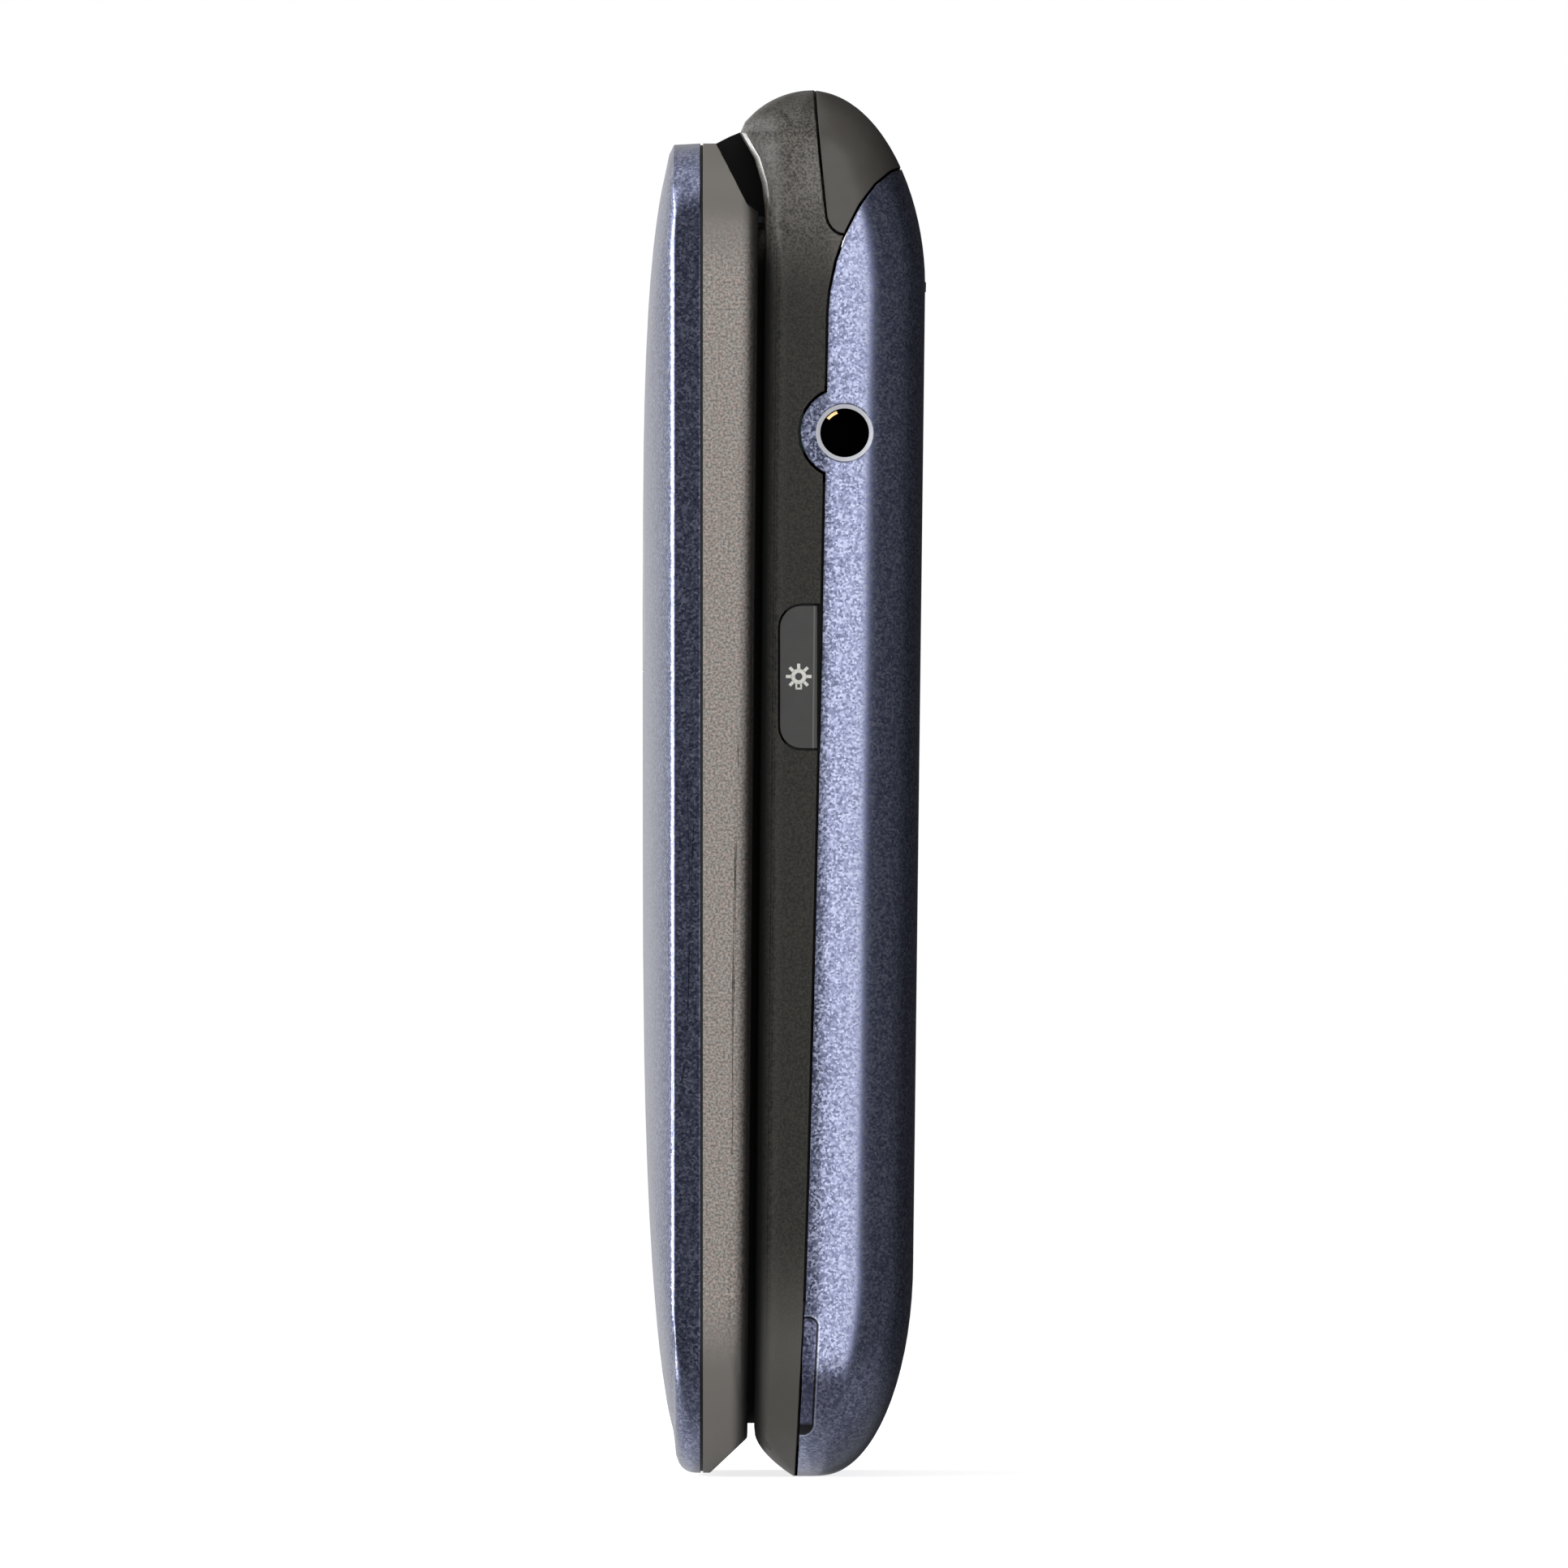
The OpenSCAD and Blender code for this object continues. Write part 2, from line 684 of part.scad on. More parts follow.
module battery_cover() {
    color("#5f6796") difference() {
        intersection() {
            base_form(0);
            cover_zone();
        }
        base_form(cover_t);
        rod_y(jack_x, -half_w - 1, jack_z, jack_r, 6);
        translate([jack_x, -half_w - 0.01, jack_z]) rotate([-90, 0, 0])
            cylinder(h = 0.4, r1 = jack_r + 0.4, r2 = jack_r, $fn = 48);
        on_back(eye_z) through(-4, 6) eye_outline(eye_r + 0.2);
        for (dz = slot_steps) on_back(eye_z + dz)
            through(-3, 5) translate([speaker_y, 0]) round_rect(9, 0.9, 0.44);
        nail_recess();
    }
    color("#5f6796") on_back(eye_z + 1.1) translate([-0.3, speaker_y, 0]) rotate([0, 90, 0])
        cylinder(h = 0.3 + pip_h, r1 = 0.6, r2 = 0.35, $fn = 24);
}

// Shallow step in the cover's lower edge for a thumbnail
module nail_recess() {
    low = 3;
    translate([0, -half_w, 0]) across(1.2)
        translate([seam_at(low), low]) polygon([[-1, 0], [0.95, 0], [1.05, nail_l - 0.8],
            [0.6, nail_l], [-1, nail_l]]);
}

// ---------- inside the base ----------

// Outline round the inside of the base, for boards and frames
module base_outline(inset, low, high, r_low) {
    polygon(round_box(half_w - inset, low, high, r_low, 3));
}

module screw_holes(r) {
    for (p = screw_places) translate(p) circle(r = r, $fn = 24);
}

module main_board() {
    color("#1f5a3c") leaning() through(board_d, board_t) difference() {
        base_outline(3.2, 8, board_top, 8);
        screw_holes(boss_r + 0.2);
        translate([half_w - socket_in - 0.2, socket_z - socket_w / 2 - 0.3])
            square([socket_in, socket_w + 0.6]);
        translate([-switch_y - 3.3, torch_key_z - 3.2]) square([3.4, 6.4]);
        for (z = volume_zs) translate([switch_y - 0.1, z - 3.2]) square([3.4, 6.4]);
    }
}

key_centres = concat([for (key = KEYS) [key[1], key[2]]],
    [for (a = [0:90:270]) [6 * cos(a), ring_z + 6 * sin(a)]], [[0, ring_z]]);

module dome_sheet() {
    color("#c9ccd0") leaning() {
        through(dome_d + 0.12, 0.1) base_outline(key_side - 0.4, 9.5, soft_z + 5, 4);
        for (p = key_centres) rod_x(dome_d + 0.04, p[0], p[1], 1.6, 0.1);
    }
}

module middle_frame() {
    back = plate_d + frame_plate_t;
    color("#2b2b2d") leaning() {
        through(plate_d, frame_plate_t) difference() {
            base_outline(2.7, 6.5, board_top, 9);
            screw_holes(0.8);
            translate([-half_w, jack_z - 3.5]) square([half_w - jack_in + 0.4, 7]);
        }
        through(board_d + 0.75, plate_d - board_d - 0.7) difference() {
            base_outline(2.5, 2, base_len / 2 - 4, 9);
            base_outline(3.1, 3.2, base_len, 7.4);
            screw_holes(boss_r + 0.2);
            translate([half_w - socket_in - 0.4, socket_z - socket_w / 2 - 0.4])
                square([socket_in, socket_w + 0.8]);
        }
        through(back - 0.05, 3.05) translate([0, battery_z]) difference() {
            round_rect(battery_w + 2.4, battery_l + 2.4, 2);
            round_rect(battery_w + 0.4, battery_l + 0.4, 1.6);
            translate([-4.2, battery_l / 2 - 1]) square([8.4, 3]);
        }
        through(back - 0.05, tower_d - back + 0.05) translate([0, eye_z]) difference() {
            eye_outline(eye_r + 0.5);
            eye_outline(eye_r);
        }
    }
}

module battery() {
    color("#26282c") leaning() through(bay_d, battery_t) translate([0, battery_z])
        round_rect(battery_w, battery_l, 1.5);
}

module battery_contacts() {
    top = battery_z + battery_l / 2;
    color("#c9a24a") leaning() {
        through(bay_d - 0.05, 3) translate([0, top + 1.3]) square([7.6, 2], center = true);
        for (y = [-2.5, 0, 2.5]) through(bay_d + 0.8, 1.2) translate([y, top + 0.2])
            square([1, 0.3], center = true);
    }
}

// Push switch behind a side key, standing on the edge of the board
module side_switch(side, z) {
    x = face_at(z) + board_d;
    block([x - 0.6, side > 0 ? switch_y : -switch_y - 2.4, z - 3],
        [x + board_t + 0.6, side > 0 ? switch_y + 2.4 : -switch_y, z + 3]);
    rod_y(x + 0.4, side > 0 ? switch_y + 2.3 : -switch_y - 2.6, z, 0.8, 0.3);
}

module torch_switch() {
    color("#b9bcc0") side_switch(-1, torch_key_z);
}

module volume_switches() {
    color("#b9bcc0") for (z = volume_zs) side_switch(1, z);
}

module headset_jack() {
    nose_y = -half_w + cover_t + 0.7;
    color("#1d1d1f") difference() {
        union() {
            rod_y(jack_x, nose_y, jack_z, jack_r + 0.4, 3);
            block([jack_x - 2.7, nose_y + 1.5, jack_z - 3], [jack_x + 2.9, -jack_in, jack_z + 3]);
        }
        rod_y(jack_x, nose_y - 1, jack_z, jack_r, half_w - jack_in - cover_t);
    }
}

module charging_socket() {
    color("#b4b7bb") translate([socket_x, 0, socket_z]) difference() {
        translate([0, half_w - 0.5, 0]) rotate([90, 0, 0])
            linear_extrude(height = socket_in - 0.5) round_rect(socket_h, socket_w, 0.8);
        translate([0, half_w, 0]) rotate([90, 0, 0])
            linear_extrude(height = socket_in - 1) difference() {
                round_rect(socket_h - 0.5, socket_w - 0.5, 0.55);
                square([0.6, socket_w - 3], center = true);
            }
    }
}

module loudspeaker() {
    color("#3a3a3c") leaning() translate([0, speaker_y, eye_z]) difference() {
        union() {
            through(bay_d - 0.05, 3.2) round_rect(13.6, 7.4, 2);
            through(bay_d, tower_d - bay_d) round_rect(11.6, 7, 2);
        }
        through(tower_d - 1.2, 2) round_rect(10.4, 5.8, 1.5);
    }
}

module microphone() {
    color("#b9a36a") leaning() rod_x(flange_d, 0, 6.6, 1.8, 0.9);
}

motor_x = 4.95;
motor_z = 10.5;

module vibration_motor() {
    color("#a9acb0") {
        rod_y(motor_x, 7, motor_z, 1.9, 8);
        rod_y(motor_x, 14.5, motor_z, 0.4, 4.2);
    }
}

module vibration_weight() {
    color("#8a8478") difference() {
        union() {
            rod_y(motor_x, 15.4, motor_z, 0.9, 2.8);
            intersection() {
                rod_y(motor_x, 15.4, motor_z, 2, 2.8);
                block([motor_x - 3, 15, motor_z - 3], [motor_x + 3, 19, motor_z]);
            }
        }
        rod_y(motor_x, 15, motor_z, 0.4 + run_gap, 4);
    }
}

module antenna() {
    color("#b08d57") leaning() through(bay_d - 0.05, 0.3)
        translate([9 - half_w, 9]) polygon([[0, 0], [21, 0], [21, 5], [11, 5], [11, 3], [9, 3], [9, 5],
            [0, 5]]);
}

module sim_holder() {
    color("#c2c5c9") leaning() translate([0, speaker_y - 1, base_len - 26]) {
        through(bay_d - 0.05, 0.4) round_rect(16, 12, 0.8);
        for (s = [-1, 1]) through(bay_d, 1.4) translate([s * 7.4, 0]) square([1.2, 12], center = true);
        through(bay_d, 1.4) translate([0, 5.4]) square([15, 1.2], center = true);
    }
}

module camera() {
    color("#1c1d20") leaning() {
        rod_x(bay_d - 0.05, camera_y, eye_z, 3.1, 2.6);
        rod_x(bay_d, camera_y, eye_z, 2.2, tower_d - bay_d - 0.2);
    }
}

module torch_lamp() {
    color("#e9e2b8") leaning() {
        rod_x(bay_d - 0.05, lamp_y, eye_z, 2, 2.2);
        rod_x(bay_d, lamp_y, eye_z, 1.4, tower_d - bay_d - 0.2);
    }
}

module camera_window() {
    color("#17181b") on_back(eye_z) through(-1.5, 1.35) eye_outline(eye_r);
}

module base_screws() {
    color("#9da0a4") leaning() for (p = screw_places) {
        rod_x(housing_t + 0.7, p[0], p[1], 0.65, plate_d + frame_plate_t - housing_t - 0.7);
        rod_x(plate_d + frame_plate_t + 0.02, p[0], p[1], 1.3, 0.6);
    }
}

// ---------- hinge pieces ----------

module hinge_cartridge() {
    color("#8d9094") difference() {
        rod_y(hinge_x, -barrel_half, hinge_z, cartridge_r, cartridge_l);
        rod_y(hinge_x, -barrel_half + 1.4, hinge_z, cartridge_r - 0.45, cartridge_l - 2);
        rod_y(hinge_x, -barrel_half - 1, hinge_z, shaft_r + run_gap, 3);
    }
}

module hinge_shaft() {
    color("#c4c6c9") {
        rod_y(hinge_x, -ear_y - 3.2, hinge_z, shaft_r, cartridge_l);
        rod_y(hinge_x, -barrel_half + 7, hinge_z, cartridge_r - 0.55, 1.2);
        block([hinge_x - 2.2, -ear_y - 3.2, hinge_z - 0.8],
            [hinge_x + 2.2, -ear_y - ear_wall - 0.05, hinge_z + 0.8]);
    }
}

// Coil of four turns, wound from a half ring
module hinge_spring() {
    color("#7d8084") translate([hinge_x, -barrel_half + 1.45, hinge_z]) rotate([-90, 0, 0])
        linear_extrude(height = 5.5, twist = 4 * 360, slices = 48) difference() {
            circle(r = shaft_r + 0.8, $fn = 24);
            circle(r = shaft_r + 0.2, $fn = 24);
            translate([-3, -3]) square([6, 3]);
        }
}

module hinge_bush() {
    color("#d8d4c8") difference() {
        union() {
            rod_y(hinge_x, barrel_half - 3, hinge_z, bush_r, ear_y + ear_wall + 0.1 - barrel_half + 3);
            rod_y(hinge_x, ear_y + ear_wall + 0.05, hinge_z, bush_r + 0.4, 0.8);
        }
        rod_y(hinge_x, barrel_half - 4, hinge_z, bush_r - 0.6, 8);
    }
}

module lid_ribbon() {
    color("#b5772a") {
        rod_y(hinge_x, ribbon_y - 3, hinge_z, 1.3, 6);
        translate([0, ribbon_y, 0]) across(5) polygon([[lid_seam_x + 1.8, lid_top - 8.8],
            [lid_seam_x + 2, lid_top - 8.8], [lid_seam_x + 2.5, lid_top - 7],
            [lid_seam_x + 2.8, lid_top - 3.4], [hinge_x - 1, hinge_z - 0.1],
            [hinge_x - 1, hinge_z + 0.1], [lid_seam_x + 2.6, lid_top - 3.2],
            [lid_seam_x + 2.3, lid_top - 7]]);
    }
}

// ---------- lid ----------

// Frame that leans with the closed lid, its X measured from the lid's inner face
module lid_leaning() {
    translate([-lid_gap, 0, 0]) leaning() children();
}

// Outside of the lid frame: straight sides and a small round edge at the inner face
module frame_form() {
    function ring(inset, depth) = [for (p = round_box(half_w - inset, lid_lift + inset,
        lid_top - inset, low_corner_r, lid_corner_r))
            [depth < 0 ? lid_seam_x + seam_gap / 2 : lid_face_at(p[1]) - depth, p[0], p[1]]];
    loft(concat([ring(0, -1)], [for (a = [0:22.5:90])
        ring(front_edge_r * (1 - cos(a)), front_edge_r * (1 - sin(a)))]));
}

screw_spots = [for (y = [-1, 1], z = [window_low - 4.8, lid_top - window_drop - 3])
    [y * (half_w - 3.4), z]];

// Outline inside the lid's edge, drawn in from it by an inset
module lid_outline(inset, r_low, r_high) {
    polygon(round_box(half_w - inset, lid_lift + inset, lid_top - inset, r_low, r_high));
}

module lid_frame() {
    color("#77726e") difference() {
        union() {
            difference() {
                frame_form();
                across(body_w + 2) {
                    translate([hinge_x, hinge_z]) rotate(206.9) translate([-30, -30])
                        square([30 + rail_clear_r, 60]);
                    polygon([[lid_face_at(0) - frame_toe, lid_lift - 0.01],
                        [lid_face_at(0) + 0.1, lid_lift + frame_toe], [lid_face_at(0) + 4, lid_lift - 4]]);
                }
            }
            across(barrel_l) neck_outline();
            through(lid_seam_x - lip_h, lip_h + 0.5)
                lid_outline(lip_in, low_corner_r - 0.6, lid_corner_r - 0.1);
            through(lid_seam_x - seam_gap / 2, seam_gap + 0.1)
                for (z = [lid_lift + 0.15, lid_top - lip_in - 0.3]) translate([-stop_w / 2, z])
                    square([stop_w, lip_in + 0.15]);
        }
        through(lid_seam_x - lip_h - 1, lip_h + 1 + seam_gap / 2)
            lid_outline(lid_wall, low_corner_r - 1, lid_corner_r - 0.5);
        lid_leaning() {
            through(-lid_frame_t - 8, 8)
                polygon(round_box(half_w - lid_wall, lid_lift + 3.2, lid_top - 6.6, 8, 2));
            through(-recess_d, 3)
                polygon(round_box(half_w - 5, 3.4, neck_z + 1.9, 5.4, 2));
            through(-recess_d - window_t - 0.1, 3) translate([0, window_z])
                round_rect(window_w + 2 * fit_gap, window_l + 2 * fit_gap, 3);
            through(-4, 6) translate([0, window_z]) round_rect(display_w + 0.3, display_l + 0.3, 0.5);
            through(-4, 6) translate([0, ear_slot_z]) round_rect(9, 1.4, 0.69);
            for (p = screw_spots) {
                rod_x(-4, p[0], p[1], 0.75, 6);
                rod_x(-0.9, p[0], p[1], 1.4, 2);
            }
            for (s = [-1, 1]) rod_x(-recess_d - 0.4, s * bumper_y, bumper_z, bumper_r + 0.05, 2);
        }
        rod_y(hinge_x, -barrel_half - 1, hinge_z, cartridge_r + 0.05, barrel_l - 2.4);
        rod_y(hinge_x, barrel_half - 5, hinge_z, bush_r + run_gap, 8);
        translate([0, ribbon_y, 0]) across(5.6) hull() {
            translate([hinge_x, hinge_z]) circle(r = 0.8, $fn = 16);
            translate([lid_seam_x + 2.2, lid_top - 7.4]) square([1.6, 5]);
        }
    }
}

// Outside of the lid cover: a band round the edge and a crown that swells from its crease.
// The crown falls off with the distance from the middle, fastest towards the sides.
module crown_form(wall) {
    top = lid_top - wall;
    low = lid_lift + wall;
    w = half_w - wall;
    mid_z = (top + low + crease_lift) / 2;
    function band_ring(u) = [for (p = round_box(w - band_taper * u,
        low + crease_lift * (1 - pow(1 - pow(u, 3), 1 / 3)), top - 0.1 * u,
        low_corner_r - 0.9 * u, lid_corner_r))
            [lid_seam_x - seam_gap / 2 - (band_t - seam_gap / 2 - 0.4 * wall) * u
                + (u == 0 && wall > 0 ? 1 : 0), p[0], p[1]]];
    edge = band_ring(1);
    function fall(p) =
        let (u = p[1] / w, v = (p[2] - mid_z) / (top - mid_z), n = v > 0 ? 6 : 3.3)
        (2.4 * u * u + n * v * v) / (u * u + v * v);
    function crown_ring(k) = [for (p = edge)
        [p[0] - (crown_h - 0.5 * wall) * pow(1 - (k < 0.15 ? 0 : pow(k, fall(p))), 1 / 1.4),
            p[1] * k, mid_z + (p[2] - mid_z) * k]];
    steps = wall > 0 ? [0.94, 0.8, 0.55, 0.1] : [0.985, 0.955, 0.91, 0.84, 0.74, 0.6, 0.42, 0.1];
    rings = concat([for (u = wall > 0 ? [0, 0.6, 0.9, 1] : [0, 0.6, 0.87, 0.97, 1]) band_ring(u)],
        [for (k = steps) crown_ring(k)]);
    loft([for (i = [len(rings) - 1:-1:0]) rings[i]]);
}

module outer_outline(gap) {
    translate([0, outer_z]) round_rect(outer_w + 2 * gap, outer_h + 2 * gap, 3 + gap);
}

module lid_cover() {
    color("#8f93b4") difference() {
        crown_form(0);
        crown_form(lid_cover_t);
        through(-20, 14) outer_outline(fit_gap);
    }
    color("#8f93b4") for (p = screw_spots) difference() {
        through(lid_seam_x - band_t - 0.2, band_t + 1.9) translate(p) circle(r = 1.35, $fn = 24);
        rod_x(lid_seam_x - band_t + 0.6, p[0], p[1], 0.72, 6);
    }
}

module outer_window() {
    color("#101114") intersection() {
        difference() {
            crown_form(0);
            crown_form(lid_cover_t - 0.1);
        }
        through(-20, 14) outer_outline(0);
    }
}

module outer_display() {
    front = lid_seam_x - band_t - crown_h + lid_cover_t + 0.25;
    color("#20242c") through(front, lid_board_x - 0.1 - front) translate([0, outer_z])
        round_rect(outer_w - 3, outer_h - 3, 1);
}

module main_window() {
    color("#15161a") lid_leaning() through(-recess_d - window_t - 0.05, window_t)
        translate([0, window_z])
        round_rect(window_w, window_l, 2.9);
}

module main_display() {
    color("#2a2f3a") lid_leaning() through(-recess_d - window_t - 0.15 - display_t, display_t)
        translate([0, window_z]) round_rect(display_w, display_l, 0.4);
}

module lid_board() {
    color("#1f5a3c") lid_leaning() through(-lid_board_d - 0.6, 0.6)
        polygon(round_box(half_w - 7, ear_slot_z + 4, lid_top - 8, 2, 2));
}

module earpiece() {
    color("#3a3a3c") lid_leaning() through(-lid_frame_t - 2, 1.95) translate([0, ear_slot_z])
        round_rect(12, 6, 2);
}

module lid_magnet() {
    color("#7f8286") lid_leaning() rod_x(-lid_frame_t - 1.25, bumper_y - 3, ear_slot_z + 2, 2, 1.2);
}

module lid_screws() {
    color("#9da0a4") lid_leaning() for (p = screw_spots) {
        rod_x(-0.88, p[0], p[1], 1.3, 0.5);
        rod_x(-3.6, p[0], p[1], 0.65, 2.75);
    }
}

module lid_bumpers() {
    color("#2a2a2a") lid_leaning() for (s = [-1, 1])
        rod_x(-recess_d - 0.38, s * bumper_y, bumper_z, bumper_r, 0.38 + 0.2);
}

front_housing();
rear_cap();
middle_frame();
battery_cover();
battery();
battery_contacts();
main_board();
dome_sheet();
torch_key();
torch_switch();
volume_up_key();
volume_down_key();
volume_switches();
headset_jack();
charging_socket();
loudspeaker();
microphone();
vibration_motor();
vibration_weight();
antenna();
sim_holder();
camera();
camera_window();
torch_lamp();
base_screws();
hinge_cartridge();
hinge_shaft();
hinge_spring();
hinge_bush();
lid_ribbon();
lid_cover();
lid_frame();
outer_window();
outer_display();
main_window();
main_display();
lid_board();
earpiece();
lid_magnet();
lid_screws();
lid_bumpers();
direction_ring();
centre_key();
for (key = KEYS) keypad_key(key);
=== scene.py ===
import json
import math

import bmesh
import bpy
import numpy as np
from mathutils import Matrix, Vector
from mathutils.bvhtree import BVHTree
from mathutils.interpolate import poly_3d_calc

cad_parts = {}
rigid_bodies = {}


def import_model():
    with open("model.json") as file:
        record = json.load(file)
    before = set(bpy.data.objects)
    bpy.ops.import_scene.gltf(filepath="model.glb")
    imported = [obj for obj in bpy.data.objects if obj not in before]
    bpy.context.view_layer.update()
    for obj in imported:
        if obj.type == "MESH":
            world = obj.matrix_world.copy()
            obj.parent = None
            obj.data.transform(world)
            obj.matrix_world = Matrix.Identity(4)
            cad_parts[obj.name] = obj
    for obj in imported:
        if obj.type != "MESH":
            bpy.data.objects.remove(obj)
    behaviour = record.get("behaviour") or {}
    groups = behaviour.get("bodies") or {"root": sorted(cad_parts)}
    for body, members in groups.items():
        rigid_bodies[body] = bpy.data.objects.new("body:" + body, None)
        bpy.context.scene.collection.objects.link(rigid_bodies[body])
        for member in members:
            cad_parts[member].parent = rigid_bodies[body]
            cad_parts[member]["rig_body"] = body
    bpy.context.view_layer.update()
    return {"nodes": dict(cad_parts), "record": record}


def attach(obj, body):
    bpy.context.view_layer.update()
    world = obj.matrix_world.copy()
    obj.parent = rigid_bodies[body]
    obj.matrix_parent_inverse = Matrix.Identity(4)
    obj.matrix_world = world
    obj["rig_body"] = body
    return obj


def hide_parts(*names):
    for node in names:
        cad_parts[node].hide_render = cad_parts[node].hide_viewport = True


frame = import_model()


# ---------- sizes ----------
# Millimetres and degrees, as in the part's own source. X runs from the lid to the back, Y to the phone's
# left side, Z from the foot to the hinge.

MM = 0.001

# The base: half width, length, thickness, keypad face at the toe, lean of face and back.
BODY_HALF, BASE_LEN, BASE_T = 26.0, 102.3, 11.75
FACE_X, FACE_LEAN, BACK_LEAN = -2.25, 0.53, 0.7
# Its toe chamfer, round heel, hump over the hinge, crown of the hump, round hinge ears and the neck below.
TOE_H, TOE_D, TOE_BEND = 3.5, 2.95, 1.8
HEEL_H, HEEL_D, HEEL_X = 16.0, 6.8, FACE_X + BASE_T
HUMP_H, HUMP_Z, HUMP_BEND = 14.3, BASE_LEN - 14.3, 1.92
CROWN_X, EAR_R = FACE_X + 4.38, 6.54
NECK_Z, NOSE_Z, NOSE_D, NOSE_BEND = HUMP_Z + 3, BASE_LEN - 3.2, 1.9, 3.2
# Corners seen from the front, and the base's edges seen from its ends.
LOW_CORNER, TOP_CORNER, LID_CORNER = 10.0, 5.0, 7.0
REAR_EDGE_W, REAR_EDGE_D, BASE_EDGE, EAR_SOFT, SOFT_RISE = 5.5, 4.4, 1.4, 0.8, 4
SIDE_TAPER, WAIST_SHARE, WAIST_SOFT = 0.6, 0.58, 0.06

# The lid: its ends, the gap to the base, the frame, and the seam between frame and cover.
LID_TOP, LID_LIFT, LID_GAP, FRAME_T = BASE_LEN - 3.9, 0.24, 0.5, 3.37
LID_SEAM, SEAM_GAP = FACE_X - LID_GAP - FRAME_T, 0.2
# The cover's band and crease, and its crown, with the power of its fall to the side, the top and the foot.
BAND_T, BAND_TAPER, BAND_TOP_TAPER, BAND_TOP_ROUND, BAND_CORNER_TAPER = 2.04, 0.6, 0.1, 0.4, 0.9
CREASE_LIFT, CREASE_SHARE = 3.2, 0.93
CROWN_H, CROWN_BEND, CROWN_FALL_SIDE, CROWN_FALL_TOP, CROWN_FALL_FOOT = 2.35, 1.4, 2.4, 6, 3.3
CROWN_RIM, CROWN_HEART = 0.012, 0.98
# The frame's round edge, the levels at which it starts and stops being the large one, and its toe's plane.
FRAME_EDGE, FRAME_END_EDGE, FRAME_EDGE_LEVELS = 1.7, 0.8, (5, 10, 82, 88)
TOE_CUT, TOE_CUT_RISE, RING_SPACING = 2.75, 0.1, 0.003
# The seam's black piece of painted shade: how far in it starts and ends, and half its thickness.
SEAM_SHADE_OUT, SEAM_SHADE_IN, SEAM_SHADE_HALF = 0.12, 1.3, 0.09

# The headset socket, the thumbnail recess, camera and torch lamp, torch key, and the keypad: how proud the
# keys are of the face, and where their rows and columns are.
JACK_X, JACK_Z = 4.43, 77.0
RECESS_MID, RECESS_HALF, RECESS_ROUND, RECESS_LEAN = (1.2, 7.5), (0.35, 3.6), 0.7, 0.05
EYE_FACE, EYE_Z, EYE_Y, LAMP_Y = 10.2, 87.0, -3.0, -10.5
TORCH_X, TORCH_SIDE, TORCH_Z, TORCH_SLOPE = 1.044, 25.81, 59.04, 0.158
KEY_TOP, KEY_PITCH, KEY_ZS = 0.72, 13.0, (45.2, 34.8, 24.4, 14.0)
OUTER_KEY_Y, SOFT_Z, CALL_Z, RING_Z = 15.05, 75.7, 62.7, 69.2


def face_at(z):
    """The keypad face: a straight line that leans back."""
    return FACE_X + math.tan(math.radians(FACE_LEAN)) * (z - TOE_H)


def back_flat(z):
    """The flat of the back: a straight line from the heel up."""
    return HEEL_X + math.tan(math.radians(BACK_LEAN)) * (z - HEEL_H)


# ---------- shader maths ----------

class Wire:
    """An output socket of a node tree. Arithmetic on it adds Math nodes."""

    def __init__(self, nodes, socket):
        self.nodes, self.socket = nodes, socket

    def math(self, operation, *values):
        return self.nodes.node("ShaderNodeMath", {"operation": operation}, dict(enumerate(values)))

    def __add__(self, other):
        return self.math("ADD", self, other)

    def __radd__(self, other):
        return self.math("ADD", other, self)

    def __sub__(self, other):
        return self.math("SUBTRACT", self, other)

    def __rsub__(self, other):
        return self.math("SUBTRACT", other, self)

    def __mul__(self, other):
        return self.math("MULTIPLY", self, other)

    def __rmul__(self, other):
        return self.math("MULTIPLY", other, self)

    def __pow__(self, other):
        return self.math("POWER", self, other)

    def __abs__(self):
        return self.math("ABSOLUTE", self)

    def top(self, other):
        """The larger of the two."""
        return self.math("MAXIMUM", self, other)

    def step(self, low, high):
        """0 below low, 1 above high, a smooth rise between."""
        return self.nodes.node("ShaderNodeMapRange", {"interpolation_type": "SMOOTHSTEP"},
                               {"Value": self, "From Min": low, "From Max": high})

    def within(self, low, high, soft):
        """1 between low and high, 0 outside, with a soft border."""
        return self.step(low - soft, low + soft) * (1 - self.step(high - soft, high + soft))


